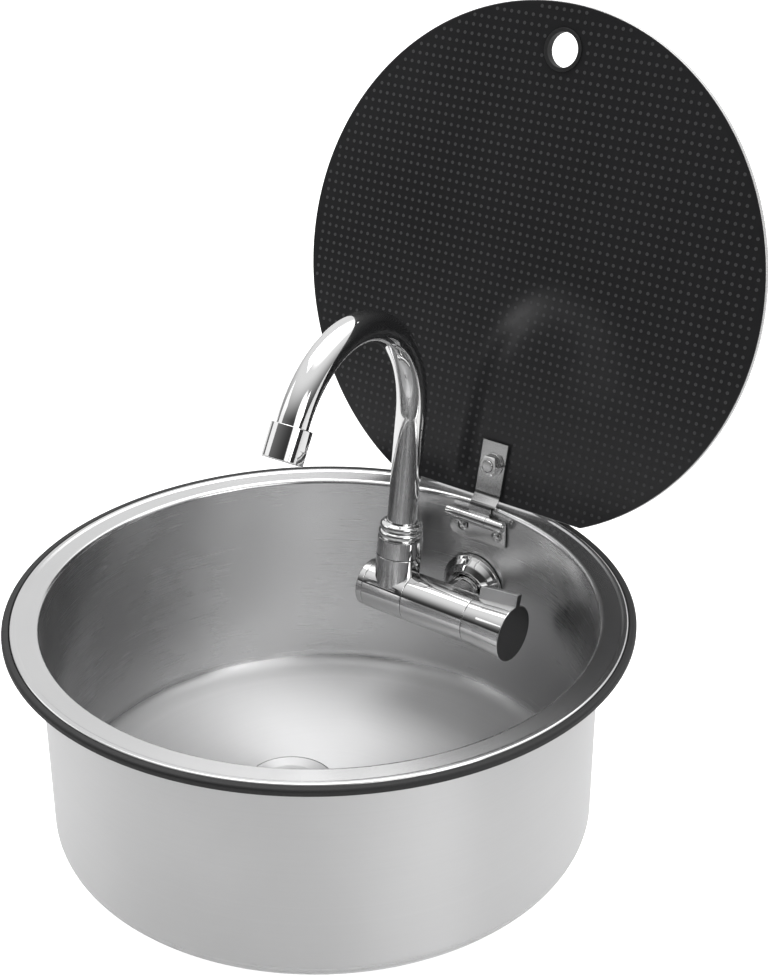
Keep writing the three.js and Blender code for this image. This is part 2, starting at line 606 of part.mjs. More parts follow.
function swingSocket() {
  const barrel = alongX(bar(BODY_RADIUS, SOCKET_LEFT, SOCKET_RIGHT, STEPS, 0.5));
  const spigot = alongX(revolve([v2(0, SOCKET_RIGHT - 3), v2(SPIGOT_RADIUS, SOCKET_RIGHT - 3),
    v2(SPIGOT_RADIUS, SOCKET_RIGHT + 5), v2(SPIGOT_RADIUS - 1.6, SOCKET_RIGHT + 5),
    v2(SPIGOT_RADIUS - 1.6, SOCKET_RIGHT + 8.4), v2(SPIGOT_RADIUS, SOCKET_RIGHT + 8.4),
    v2(SPIGOT_RADIUS, SOCKET_RIGHT + 12), v2(0, SOCKET_RIGHT + 12)]));
  // The cup is cut flat beside the seam, so that it turns past the valve body.
  const seam = new THREE.BoxGeometry(10, 60, 60).translate(SOCKET_RIGHT + 5, 0, CUP_TOP);
  const cup = combine(bar(CUP_RADIUS, 4, CUP_TOP, STEPS, 0.4).translate(RISER_X, 0, 0), [], [seam]);
  const thread = bar(CUP_RADIUS - 2.2, 10, THREAD_TOP, STEPS, 0.4).translate(RISER_X, 0, 0);
  const across = alongX(bar(WATERWAY, RISER_X, 5, SMALL_STEPS, 0));
  const upward = bar(WATERWAY, -WATERWAY, CUP_TOP + 10, SMALL_STEPS, 0).translate(RISER_X, 0, 0);
  const seat = bar(TUBE_RADIUS + 0.6, RISER_BOTTOM - 4, CUP_TOP + 10, STEPS, 0).translate(RISER_X, 0, 0);
  return combine(barrel, [spigot, cup, thread], [across, upward, seat]);
}

/** Coupling nut with two beads round its top. */
function spoutNut() {
  const bore = TUBE_RADIUS + 0.4;
  const low = CUP_TOP + GAP;
  const beads = [];
  for (const [middle, radius] of NUT_BEADS) {
    beads.push(...arcPoints(radius - BEAD_RADIUS, middle, BEAD_RADIUS, -90, 90, 3));
  }
  const inside = CUP_RADIUS - 2.2 + GAP;
  return revolve([v2(inside, low), v2(CUP_RADIUS - 0.3, low), v2(CUP_RADIUS, low + 0.4),
    v2(CUP_RADIUS, COLLAR_TOP - 0.6), v2(CUP_RADIUS - 0.6, COLLAR_TOP), v2(13.1, COLLAR_TOP + 0.4), ...beads,
    v2(12.3, NUT_TOP), v2(bore, NUT_TOP), v2(bore, THREAD_TOP + 1.6), v2(inside, THREAD_TOP + 1.6), v2(inside, low)])
    .translate(RISER_X, 0, 0);
}

class NeckCurve extends THREE.Curve {
  /** Straight riser, bend towards the bowl, short straight end, from the foot of the spout. */
  getPoint(t, target = new THREE.Vector3()) {
    const sweep = radians(NECK_SWEEP);
    const rise = RISER_TOP - RISER_BOTTOM;
    const bend = NECK_RADIUS * sweep;
    const s = t * (rise + bend + TUBE_TAIL);
    if (s <= rise) return target.set(0, 0, RISER_BOTTOM + s);
    const angle = Math.min((s - rise) / NECK_RADIUS, sweep);
    const tail = Math.max(s - rise - bend, 0);
    return target.set(0,
      -NECK_RADIUS * (1 - Math.cos(angle)) - tail * Math.sin(angle),
      RISER_TOP + NECK_RADIUS * Math.sin(angle) + tail * Math.cos(angle));
  }
}

function gooseneck() {
  const section = disc(TUBE_RADIUS, 16);
  withRoundHole(section, 0, 0, TUBE_RADIUS - TUBE_WALL, 12);
  const path = new NeckCurve();
  return closed(new THREE.ExtrudeGeometry(section, { steps: 20, extrudePath: path }));
}

/** Place a solid drawn about +Z, pointing out of the spout, at the spout's end. */
function atOutlet(geometry) {
  const sweep = radians(NECK_SWEEP);
  const end = new NeckCurve().getPoint(1);
  return geometry.rotateX(sweep).translate(end.x, end.y, end.z);
}

function aeratorShell() {
  const bore = TUBE_RADIUS + GAP;
  const low = -8;
  const high = low + AERATOR_LENGTH;
  const sleeve = revolve([v2(bore, low), v2(AERATOR_RADIUS - 0.5, low), v2(AERATOR_RADIUS, low + 0.6),
    v2(AERATOR_RADIUS, high - 1), v2(AERATOR_RADIUS - 1, high), v2(10.4, high), v2(10.4, high - 2),
    v2(11.4, high - 2), v2(11.4, 1.6), v2(bore, 1), v2(bore, low)]);
  const flat = (side) => new THREE.BoxGeometry(4, 2 * AERATOR_RADIUS, 9)
    .translate(side * (AERATOR_RADIUS + 1.2), 0, high - 4.5);
  return combine(sleeve, [], [flat(-1), flat(1)]);
}

function aeratorInsert() {
  const low = 3;
  const high = AERATOR_LENGTH - 8 - 2 - GAP;
  const shape = withRoundHole(disc(11.1), 0, 0, 1.4, 6);
  for (const [count, radius] of [[5, 4.6], [7, 8.4]]) {
    for (let i = 0; i < count; i += 1) {
      const angle = (i * TURN) / count;
      withRoundHole(shape, radius * Math.cos(angle), radius * Math.sin(angle), 1.1, 6);
    }
  }
  return plate(shape, low, high);
}

place(arm, 'swing_socket', swingSocket(), CHROME);
place(arm, 'end_cap', alongX(bar(BODY_RADIUS - 0.2, END_CAP_LEFT, SOCKET_LEFT - GAP, STEPS, 1)), CHROME);
place(arm, 'spigot_oring', alongX(ring(SPIGOT_RADIUS - 1.3, SPIGOT_RADIUS + GAP, SOCKET_RIGHT + 5.5,
  SOCKET_RIGHT + 7.9)), RUBBER);
place(arm, 'spout_nut', spoutNut(), CHROME);
place(spout, 'gooseneck_spout', gooseneck(), CHROME);
place(spout, 'aerator_shell', atOutlet(aeratorShell()), CHROME);
place(spout, 'aerator_insert', atOutlet(aeratorInsert()), GREY_PLASTIC);

// ---------- drain ----------
const drain = new THREE.Group();
drain.position.set(DRAIN_X, DRAIN_Y, -BOWL_DEPTH - DRAIN_RECESS);
model.add(drain);

function drainFlange() {
  const seat = SHEET + GAP + 0.8 + GAP;
  return revolve([v2(DRAIN_BORE, -26), v2(DRAIN_TUBE, -26), v2(DRAIN_TUBE, seat), v2(DRAIN_RADIUS, seat),
    v2(DRAIN_RADIUS, seat + 0.5), v2(DRAIN_RADIUS - 1, seat + 1.2), v2(DRAIN_BORE + 3, seat + 0.9),
    v2(DRAIN_BORE + 1.4, seat), v2(DRAIN_BORE + 1, -2.4), v2(DRAIN_BORE - 1.6, -2.4),
    v2(DRAIN_BORE - 1.6, -3.8), v2(DRAIN_BORE, -4.4), v2(DRAIN_BORE, -26)]);
}

function strainer() {
  const shape = withRoundHole(disc(DRAIN_BORE + 0.6), 0, 0, 2.6, 10);
  for (let i = 0; i < 6; i += 1) {
    const angle = radians(-53) + (i * TURN) / 6;
    withRoundHole(shape, 10.4 * Math.cos(angle), 10.4 * Math.sin(angle), 4.2, 12);
  }
  return plate(shape, -2.4 + GAP, -1.3);
}

function drainNut() {
  const outline = [];
  for (let turn = 0; turn < 360; turn += 45) {
    const middle = v2(24 * Math.cos(radians(turn)), 24 * Math.sin(radians(turn)));
    outline.push(...arcPoints(middle.x, middle.y, 4.5, turn - 52, turn + 52, 3));
  }
  return plate(withRoundHole(new THREE.Shape(outline), 0, 0, DRAIN_TUBE + 2 * GAP, STEPS), -14.6, -5);
}

/** Reducing tail with three barbs for a soft hose. */
function drainTail() {
  const end = TAIL_END + BOWL_DEPTH + DRAIN_RECESS;
  const barbs = [];
  for (let i = 2; i >= 0; i -= 1) {
    const low = end + 2 + i * 7;
    barbs.push(v2(TAIL_BORE + 3.4, low + 5), v2(TAIL_BORE + 2.2, low));
  }
  return revolve([v2(TAIL_BORE, end), v2(TAIL_BORE, -30.5), v2(DRAIN_TUBE + GAP, -26.6),
    v2(DRAIN_TUBE + GAP, -16), v2(23.6, -16), v2(23.6, -27.5), v2(22, -29.5), v2(TAIL_BORE + 3, -33.5),
    ...barbs, v2(TAIL_BORE + 1.6, end), v2(TAIL_BORE, end)]);
}

place(drain, 'drain_flange', drainFlange(), BRIGHT_STEEL);
place(drain, 'drain_strainer', strainer(), BRIGHT_STEEL);
place(drain, 'drain_seal_top', ring(DRAIN_TUBE + GAP, DRAIN_RADIUS - 1, SHEET + GAP, SHEET + GAP + 0.8), RUBBER);
place(drain, 'drain_seal', ring(DRAIN_TUBE + GAP, 27, -3 - GAP, -GAP), RUBBER);
place(drain, 'drain_washer', ring(DRAIN_TUBE + GAP, 27, -4.7, -3 - 2 * GAP), WHITE_PLASTIC);
place(drain, 'drain_nut', drainNut(), GREY_PLASTIC);
place(drain, 'drain_tail', drainTail(), GREY_PLASTIC);

export default model;
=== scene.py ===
"""Looks of a round camper sink with a hinged glass lid and a folding gooseneck tap.

Sizes are in millimetres and become metres when a mesh is made. The row's frame has its origin at
the centre of the worktop cut-out, +Z up and +Y towards the lid hinge.
"""

from __future__ import annotations

import logging
import math
from dataclasses import dataclass, field
from enum import Enum
from typing import Sequence

import bmesh
import bpy
from mathutils import Matrix, Vector
from mathutils.geometry import tessellate_polygon

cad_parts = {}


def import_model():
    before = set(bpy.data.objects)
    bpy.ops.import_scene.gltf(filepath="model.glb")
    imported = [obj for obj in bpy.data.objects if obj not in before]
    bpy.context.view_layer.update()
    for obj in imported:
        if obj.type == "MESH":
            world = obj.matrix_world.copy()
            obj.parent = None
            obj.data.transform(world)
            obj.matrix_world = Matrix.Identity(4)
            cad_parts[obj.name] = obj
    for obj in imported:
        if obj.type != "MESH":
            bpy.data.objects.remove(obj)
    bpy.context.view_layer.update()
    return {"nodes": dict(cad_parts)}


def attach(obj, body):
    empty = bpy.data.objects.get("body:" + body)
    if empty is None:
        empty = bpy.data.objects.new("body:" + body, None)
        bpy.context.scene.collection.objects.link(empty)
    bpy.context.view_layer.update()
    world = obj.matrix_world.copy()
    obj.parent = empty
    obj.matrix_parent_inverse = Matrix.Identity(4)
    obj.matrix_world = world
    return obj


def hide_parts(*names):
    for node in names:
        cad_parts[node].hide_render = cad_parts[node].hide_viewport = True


LOG = logging.getLogger("sink")
MM = 0.001
TURN = 2 * math.pi
GAP = 0.3
SHARP_ANGLE = math.radians(38)
NEARLY_STRAIGHT = math.pi - 0.02
FILLET_SHARE = 0.49

Point2 = tuple[float, float]
Point3 = tuple[float, float, float]

# ---------------------------------------------------------------- where things stand
PIN = Vector((0.0, 165.9, -4.9))
LID_OPEN = math.radians(103.6)
TAP = Vector((0.0, 132.7, -60.7))
RISER_LEAN = math.radians(7.3)
RISER_X = -39.5
SPOUT_TURN = math.radians(5.1)
WALL_INSIDE = 172.06
WALL_OUTSIDE = 173.3
LEAF_SCREWS = (-9.4, 19.2)
LEAF_SCREW_DROP = 10.0
LEAF_HOLE = 2.35
STRAP_X = 5.8
STRAP_WIDTH = 20.0
STRAP_END = 54.6
BOLT_REACH = 38.5
DRAIN = Vector((-34.0, 6.0, -151.7))

PLACES: dict[str, Matrix] = {
    "lid": Matrix.Translation(PIN) @ Matrix.Rotation(-LID_OPEN, 4, "X"),
    "tap": Matrix.Translation(TAP),
    "arm": Matrix.Translation(TAP) @ Matrix.Rotation(-RISER_LEAN, 4, "X"),
    "drain": Matrix.Translation(DRAIN),
}
PLACES["spout"] = PLACES["arm"] @ Matrix.Translation((RISER_X, 0, 0)) @ Matrix.Rotation(SPOUT_TURN, 4, "Z")
ALONG_X = Matrix.Rotation(math.pi / 2, 4, "Y")
ALONG_Y = Matrix.Rotation(-math.pi / 2, 4, "X")
SWAP_YZ = Matrix(((1, 0, 0, 0), (0, 0, 1, 0), (0, 1, 0, 0), (0, 0, 0, 1)))


def shift(x: float = 0.0, y: float = 0.0, z: float = 0.0) -> Matrix:
    """Return a move by the given millimetres."""
    return Matrix.Translation((x, y, z))


# ---------------------------------------------------------------- outlines
def arc(x: float, y: float, radius: float, start: float, end: float, parts: int) -> list[Point2]:
    """Return points along an arc.

    Args:
        x: Centre across.
        y: Centre up.
        radius: Radius of the arc.
        start: First angle in degrees.
        end: Last angle in degrees.
        parts: Number of equal steps.

    Returns:
        The points, both ends included.
    """
    angles = [math.radians(start + (end - start) * i / parts) for i in range(parts + 1)]
    return [(x + radius * math.cos(a), y + radius * math.sin(a)) for a in angles]


def circle(x: float, y: float, radius: float, parts: int = 64) -> list[Point2]:
    """Return the points of a full circle, counter-clockwise."""
    return arc(x, y, radius, 0.0, 360.0 - 360.0 / parts, parts - 1)


def around(count: int, reach: float, radius: float, parts: int, start: float = 0.0) -> list[list[Point2]]:
    """Return circles spaced evenly round the middle.

    Args:
        count: Number of circles.
        reach: Distance of their centres from the middle.
        radius: Radius of each circle.
        parts: Points in each circle.
        start: Angle of the first one.

    Returns:
        The circles.
    """
    angles = [start + TURN * i / count for i in range(count)]
    return [circle(reach * math.cos(angle), reach * math.sin(angle), radius, parts) for angle in angles]


def hexagon(flats: float) -> list[Point2]:
    """Return a hexagon of the given width across flats."""
    return circle(0, 0, flats / math.sqrt(3), 6)


def rectangle(left: float, right: float, low: float, high: float) -> list[Point2]:
    """Return the corners of a rectangle, counter-clockwise."""
    return [(left, low), (right, low), (right, high), (left, high)]


def rounded(corners: Sequence[Point3], closed: bool = False, parts: int = 5) -> list[Point2]:
    """Return a line with its corners rounded.

    Args:
        corners: Each corner as across, up and fillet radius.
        closed: Whether the last corner joins the first.
        parts: Steps in each fillet.

    Returns:
        The points of the rounded line.
    """
    out: list[Point2] = []
    count = len(corners)
    for i, (x, y, radius) in enumerate(corners):
        here = Vector((x, y))
        if radius <= 0 or (not closed and i in (0, count - 1)):
            out.append((x, y))
            continue
        before = Vector(corners[i - 1][:2]) - here
        after = Vector(corners[(i + 1) % count][:2]) - here
        angle = before.angle(after)
        if angle > NEARLY_STRAIGHT:
            out.append((x, y))
            continue
        reach = min(radius / math.tan(angle / 2), before.length * FILLET_SHARE,
                    after.length * FILLET_SHARE)
        size = reach * math.tan(angle / 2)
        start = here + before.normalized() * reach
        end = here + after.normalized() * reach
        middle = here + (before.normalized() + after.normalized()).normalized() * (size / math.sin(angle / 2))
        sweep = math.pi - angle
        spoke = start - middle
        turn = 1.0 if spoke.cross(end - middle) > 0 else -1.0
        for step in range(parts + 1):
            swing = turn * sweep * step / parts
            out.append((middle.x + spoke.x * math.cos(swing) - spoke.y * math.sin(swing),
                        middle.y + spoke.x * math.sin(swing) + spoke.y * math.cos(swing)))
    return out


def inset(loop: Sequence[Point2], depth: float) -> list[Point2]:
    """Return a closed loop moved to its left by depth, so that corners keep their angles."""
    out: list[Point2] = []
    count = len(loop)
    for i in range(count):
        here = Vector(loop[i])
        along_in = (here - Vector(loop[i - 1])).normalized()
        along_out = (Vector(loop[(i + 1) % count]) - here).normalized()
        left = Vector((-along_in.y - along_out.y, along_in.x + along_out.x)).normalized()
        stretch = max(left.dot(Vector((-along_in.y, along_in.x))), 0.3)
        out.append(tuple(here + left * (depth / stretch)))
    return out


# ---------------------------------------------------------------- solids
@dataclass
class Solid:
    """A closed mesh in millimetres."""

    points: list[Point3] = field(default_factory=list)
    faces: list[tuple[int, ...]] = field(default_factory=list)

    def moved(self, *matrices: Matrix) -> "Solid":
        """Return the solid after the given moves, the last one named applied first."""
        whole = Matrix.Identity(4)
        for matrix in matrices:
            whole = whole @ matrix
        return Solid([tuple(whole @ Vector(p)) for p in self.points], list(self.faces))


def revolve(profile: Sequence[Point2], steps: int = 72, closed: bool = False) -> Solid:
    """Turn a profile about the Z axis.

    Args:
        profile: Points as radius and height. An open profile starts and ends on the axis.
        steps: Flats round the axis.
        closed: Whether the profile is a closed loop, as for a ring.

    Returns:
        The turned solid.
    """
    solid = Solid()
    rows: list[list[int]] = []
    for radius, height in profile:
        if radius < 1e-6:
            solid.points.append((0.0, 0.0, height))
            rows.append([len(solid.points) - 1] * steps)
            continue
        first = len(solid.points)
        for i in range(steps):
            angle = TURN * i / steps
            solid.points.append((radius * math.cos(angle), radius * math.sin(angle), height))
        rows.append(list(range(first, first + steps)))
    pairs = list(zip(rows, rows[1:])) + ([(rows[-1], rows[0])] if closed else [])
    for low, high in pairs:
        for i in range(steps):
            j = (i + 1) % steps
            unique = tuple(dict.fromkeys((low[i], low[j], high[j], high[i])))
            if len(unique) > 2:
                solid.faces.append(unique)
    return solid


def turned(*corners: Point3, steps: int = 72) -> Solid:
    """Turn a rounded profile that starts and ends on the axis."""
    return revolve(rounded(corners), steps)


def rod(radius: float, low: float, high: float, edges: Point2 = (0.0, 0.0), steps: int = 64) -> Solid:
    """Return a round rod with its lower and upper edges rounded."""
    return turned((0, low, 0), (radius, low, edges[0]), (radius, high, edges[1]), (0, high, 0), steps=steps)


def ring(*corners: Point3, steps: int = 72) -> Solid:
    """Turn a rounded closed profile into a ring."""
    return revolve(rounded(corners, closed=True), steps, closed=True)


def washer(inner: float, outer: float, low: float, high: float, edge: float = 0.2) -> Solid:
    """Return a flat ring with rounded edges."""
    return ring((inner, low, edge), (outer, low, edge), (outer, high, edge), (inner, high, edge))


def plate(outer: Sequence[Point2], holes: Sequence[Sequence[Point2]], low: float, high: float,
          edge: float = 0.3, parts: int = 3) -> Solid:
    """Return a flat plate with rounded edges.

    Args:
        outer: Outline, counter-clockwise.
        holes: Outlines of the holes, counter-clockwise.
        low: Lower face.
        high: Upper face.
        edge: Radius of every edge.
        parts: Steps in each edge.

    Returns:
        The plate.
    """
    loops = [list(outer)] + [list(reversed(hole)) for hole in holes]
    levels: list[tuple[float, float]] = []
    if edge > 0:
        for step in range(parts + 1):
            angle = math.pi / 2 * step / parts
            levels.append((low + edge - edge * math.cos(angle), edge - edge * math.sin(angle)))
        levels += [(high + low - height, depth) for height, depth in reversed(levels)]
    else:
        levels = [(low, 0.0), (high, 0.0)]
    solid = Solid()
    ends: list[list[list[int]]] = [[], []]
    for loop in loops:
        rows = []
        for height, depth in levels:
            first = len(solid.points)
            flat = inset(loop, depth) if depth > 1e-9 else loop
            solid.points += [(x, y, height) for x, y in flat]
            rows.append(list(range(first, first + len(loop))))
        for under, over in zip(rows, rows[1:]):
            for i in range(len(loop)):
                j = (i + 1) % len(loop)
                solid.faces.append((under[i], under[j], over[j], over[i]))
        ends[0].append(rows[0])
        ends[1].append(rows[-1])
    for rows in ends:
        order = [index for row in rows for index in row]
        flats = [[Vector(solid.points[index]) for index in row] for row in rows]
        solid.faces += [tuple(order[i] for i in triangle) for triangle in tessellate_polygon(flats)]
    return solid


def tube(path: Sequence[tuple[Vector, Vector]], outer: float, inner: float, steps: int = 56) -> Solid:
    """Sweep a round tube along a path in a plane of constant x.

    Args:
        path: Points with their directions.
        outer: Outer radius.
        inner: Inner radius.
        steps: Flats round the tube.

    Returns:
        The open-ended tube with flat rings at its ends.
    """
    solid = Solid()
    side = Vector((1, 0, 0))
    sections: list[tuple[list[int], list[int]]] = []
    for centre, along in path:
        up = along.cross(side)
        pair = []
        for radius in (outer, inner):
            first = len(solid.points)
            for i in range(steps):
                angle = TURN * i / steps
                solid.points.append(tuple(centre + side * radius * math.cos(angle) + up * radius * math.sin(angle)))
            pair.append(list(range(first, first + steps)))
        sections.append((pair[0], pair[1]))
    for (outer_a, inner_a), (outer_b, inner_b) in zip(sections, sections[1:]):
        for i in range(steps):
            j = (i + 1) % steps
            solid.faces.append((outer_a[i], outer_a[j], outer_b[j], outer_b[i]))
            solid.faces.append((inner_a[j], inner_a[i], inner_b[i], inner_b[j]))
    for outer_row, inner_row in (sections[0], sections[-1]):
        for i in range(steps):
            j = (i + 1) % steps
            solid.faces.append((outer_row[i], inner_row[i], inner_row[j], outer_row[j]))
    return solid


def to_mesh(solid: Solid, name: str) -> bpy.types.Mesh:
    """Return a Blender mesh in metres with merged doubles and outward faces."""
    mesh = bpy.data.meshes.new(name)
    mesh.from_pydata([(x * MM, y * MM, z * MM) for x, y, z in solid.points], [], solid.faces)
    work = bmesh.new()
    work.from_mesh(mesh)
    bmesh.ops.remove_doubles(work, verts=work.verts, dist=1e-7)
    bmesh.ops.recalc_face_normals(work, faces=work.faces)
    work.to_mesh(mesh)
    work.free()
    return mesh


def add_object(name: str, data: bpy.types.ID) -> bpy.types.Object:
    """Link a new object for a mesh, lamp or camera to the scene."""
    piece = bpy.data.objects.new(name, data)
    bpy.context.scene.collection.objects.link(piece)
    return piece


def settled(piece: bpy.types.Object) -> bpy.types.Object:
    """Turn a piece and its modifiers into a plain mesh."""
    graph = bpy.context.evaluated_depsgraph_get()
    graph.update()
    mesh = bpy.data.meshes.new_from_object(piece.evaluated_get(graph))
    piece.modifiers.clear()
    old = piece.data
    piece.data = mesh
    mesh.name = piece.name
    if old.users == 0:
        bpy.data.meshes.remove(old)
    return piece


class Cut(Enum):
    """How one solid changes another."""

    JOIN = "UNION"
    TAKE = "DIFFERENCE"
    KEEP = "INTERSECT"


Change = tuple[Cut, Solid]


def shaped(name: str, base: Solid, *changes: Change) -> bpy.types.Object:
    """Make an object from a solid with others joined to it or cut from it.

    Args:
        name: Name of the new object.
        base: First solid.
        changes: Pairs of a kind of cut and a solid.

    Returns:
        The object with a plain mesh.
    """
    piece = add_object(name, to_mesh(base, name))
    tools = []
    for index, (kind, solid) in enumerate(changes):
        tool = add_object(f"{name}_tool_{index}", to_mesh(solid, f"{name}_tool_{index}"))
        tool.hide_render = True
        cut = piece.modifiers.new(f"cut_{index}", "BOOLEAN")
        cut.operation = kind.value
        cut.solver = "EXACT"
        cut.object = tool
        tools.append(tool)
    if changes:
        settled(piece)
    for tool in tools:
        mesh = tool.data
        bpy.data.objects.remove(tool)
        bpy.data.meshes.remove(mesh)
    return piece


def eased(piece: bpy.types.Object, width: float) -> bpy.types.Object:
    """Break a piece's sharp edges by a width in millimetres."""
    bevel = piece.modifiers.new("edges", "BEVEL")
    bevel.width = width * MM
    bevel.segments = 2
    bevel.limit_method = "ANGLE"
    bevel.angle_limit = math.radians(40)
    return settled(piece)


def smoothed(piece: bpy.types.Object) -> bpy.types.Object:
    """Shade a piece smooth, with its sharp edges kept sharp and flat faces kept flat."""
    for polygon in piece.data.polygons:
        polygon.use_smooth = True
    piece.data.set_sharp_from_angle(angle=SHARP_ANGLE)
    weights = piece.modifiers.new("flat_faces", "WEIGHTED_NORMAL")
    weights.weight = 90
    weights.keep_sharp = True
    return settled(piece)


# ---------------------------------------------------------------- finishes
class Nodes:
    """A node tree with short ways to add and join nodes."""

    def __init__(self, tree: bpy.types.NodeTree) -> None:
        """Keep the tree."""
        self.tree = tree

    def add(self, kind: str, **values: object) -> bpy.types.Node:
        """Add a node and set its attributes."""
        node = self.tree.nodes.new(kind)
        for key, value in values.items():
            setattr(node, key, value)
        return node

    def link(self, source: bpy.types.NodeSocket, target: bpy.types.NodeSocket) -> None:
        """Join two sockets."""
        self.tree.links.new(source, target)

    def give(self, value: object, socket: bpy.types.NodeSocket) -> None:
        """Join a socket to another, or set it to a number."""
        if isinstance(value, bpy.types.NodeSocket):
            self.link(value, socket)
        else:
            socket.default_value = value

    def math(self, operation: str, *terms: object) -> bpy.types.NodeSocket:
        """Return the result of a math node on sockets or numbers."""
        node = self.add("ShaderNodeMath", operation=operation)
        for socket, value in zip(node.inputs, terms):
            self.give(value, socket)
        return node.outputs[0]

    def ranged(self, value: bpy.types.NodeSocket, low: float, high: float, to_low: float, to_high: float,
               shape: str = "LINEAR") -> bpy.types.NodeSocket:
        """Return a value mapped from one range to another, clamped."""
        node = self.add("ShaderNodeMapRange", interpolation_type=shape)
        self.link(value, node.inputs["Value"])
        for name, number in (("From Min", low), ("From Max", high), ("To Min", to_low), ("To Max", to_high)):
            node.inputs[name].default_value = number
        return node.outputs["Result"]


class Graph(Nodes):
    """A material's node tree, with its surface shader."""

    def __init__(self, name: str) -> None:
        """Start a material with only its surface shader and output."""
        self.material = bpy.data.materials.new(name)
        self.material.use_nodes = True
        super().__init__(self.material.node_tree)
        self.tree.nodes.clear()
        self.output = self.add("ShaderNodeOutputMaterial")
        self.shader = self.add("ShaderNodeBsdfPrincipled")
        self.link(self.shader.outputs[0], self.output.inputs["Surface"])

    def place(self) -> bpy.types.NodeSocket:
        """Return the object coordinates."""
        return self.add("ShaderNodeTexCoord").outputs["Object"]

    def noise(self, vector: bpy.types.NodeSocket, scale: float, detail: float = 3.0,
              rough: float = 0.55) -> bpy.types.NodeSocket:
        """Return a noise value over a vector."""
        node = self.add("ShaderNodeTexNoise")
        for name, value in (("Scale", scale), ("Detail", detail), ("Roughness", rough), ("Vector", vector)):
            self.give(value, node.inputs[name])
        return node.outputs["Fac"]

    def varied(self, noise: bpy.types.NodeSocket, middle: float, spread: float) -> bpy.types.NodeSocket:
        """Return a value that a noise moves by up to a spread to either side."""
        return self.ranged(noise, 0.3, 0.7, middle - spread, middle + spread)

    def grey(self, value: bpy.types.NodeSocket, tint: float = 1.0) -> bpy.types.NodeSocket:
        """Return a near-neutral colour from one value."""
        node = self.add("ShaderNodeCombineColor")
        self.link(value, node.inputs[0])
        self.link(value, node.inputs[1])
        self.link(self.math("MULTIPLY", value, tint), node.inputs[2])
        return node.outputs[0]

    def bump(self, height: bpy.types.NodeSocket, strength: float, distance: float) -> None:
        """Join a height to the shader's normal."""
        node = self.add("ShaderNodeBump")
        for name, value in (("Strength", strength), ("Distance", distance * MM), ("Height", height)):
            self.give(value, node.inputs[name])
        self.link(node.outputs[0], self.shader.inputs["Normal"])

    def surface(self, color: bpy.types.NodeSocket, rough: bpy.types.NodeSocket) -> None:
        """Join a colour and a roughness to the shader."""
        self.link(color, self.shader.inputs["Base Color"])
        self.link(rough, self.shader.inputs["Roughness"])

    def fixed(self, **values: float) -> None:
        """Set shader sockets by name, with underscores for spaces."""
        for key, value in values.items():
            self.shader.inputs[key.replace("_", " ")].default_value = value


@dataclass(frozen=True)
class SpunSteel:
    """Stainless steel finished on a turning wheel, with fine rings round the axis."""

    name: str = "spun_steel"
    bright: float = 0.64
    inner_rough: float = 0.26
    # The floor's lighter colour is painted light: the upturned floor is shown lighter than the wall, as where light
    # falls from above.
    floor_bright: float = 0.8
    floor_rough: float = 0.64
    outer_bright: float = 0.62
    outer_rough: float = 0.42
    ledge_rough: float = 0.2
    wall_middle: float = 172.9
    floor_span: Point2 = (-146.0, -139.0)
    ledge_span: Point2 = (0.5, 3.0)
    fine_scale: float = 2600.0
    broad_scale: float = 420.0
    cloud_scale: float = 14.0
    fine_share: float = 0.6

    def build(self) -> bpy.types.Material:
        """Return the material."""
        graph = Graph(self.name)
        place = graph.place()
        split = graph.add("ShaderNodeSeparateXYZ")
        graph.link(place, split.inputs[0])
        across, along, height = split.outputs[:3]
        radius = graph.math("SQRT", graph.math("ADD", graph.math("MULTIPLY", across, across),
                                               graph.math("MULTIPLY", along, along)))
        rings = graph.add("ShaderNodeCombineXYZ")
        graph.link(radius, rings.inputs[0])
        graph.link(height, rings.inputs[1])
        fine = graph.noise(rings.outputs[0], self.fine_scale, 4.0, 0.7)
        broad = graph.noise(rings.outputs[0], self.broad_scale, 2.0)
        cloud = graph.noise(place, self.cloud_scale)
        marks = graph.math("ADD", graph.math("MULTIPLY", fine, self.fine_share),
                           graph.math("MULTIPLY", broad, 1 - self.fine_share))
        middle = self.wall_middle * MM
        outside = graph.math("GREATER_THAN", radius, middle)
        on_floor, on_ledge = [graph.ranged(height, low * MM, high * MM, *ends) for (low, high), ends in (
            (self.floor_span, (1.0, 0.0)), (self.ledge_span, (0.0, 1.0)))]
        on_floor = graph.math("MULTIPLY", on_floor, graph.math("LESS_THAN", radius, middle))
        rough = graph.ranged(cloud, 0.3, 0.7, self.inner_rough - 0.02, self.inner_rough + 0.03)
        bright = graph.varied(cloud, self.bright, 0.012)
        # Inside the wall the floor gets its own roughness and a lighter colour. The lighter colour is painted light on
        # the upturned floor.
        for mask, to_rough, to_bright in ((on_floor, self.floor_rough, self.floor_bright),
                                          (outside, self.outer_rough, self.outer_bright)):
            rough = graph.math("ADD", rough, graph.math("MULTIPLY", mask, to_rough - self.inner_rough))
            bright = graph.math("ADD", bright, graph.math("MULTIPLY", mask, to_bright - self.bright))
        to_ledge = graph.math("SUBTRACT", self.ledge_rough, rough)
        rough = graph.math("ADD", rough, graph.math("MULTIPLY", on_ledge, to_ledge))
        rough = graph.math("ADD", rough, graph.ranged(marks, 0.35, 0.65, -0.015, 0.015))
        tone = graph.math("ADD", graph.ranged(marks, 0.35, 0.65, -0.01, 0.01), bright)
        graph.surface(graph.grey(tone, 1.005), rough)
        graph.bump(marks, 0.03, 0.02)
        graph.fixed(Metallic=1.0, Anisotropic=0.85, Anisotropic_Rotation=0.25)
        return graph.material


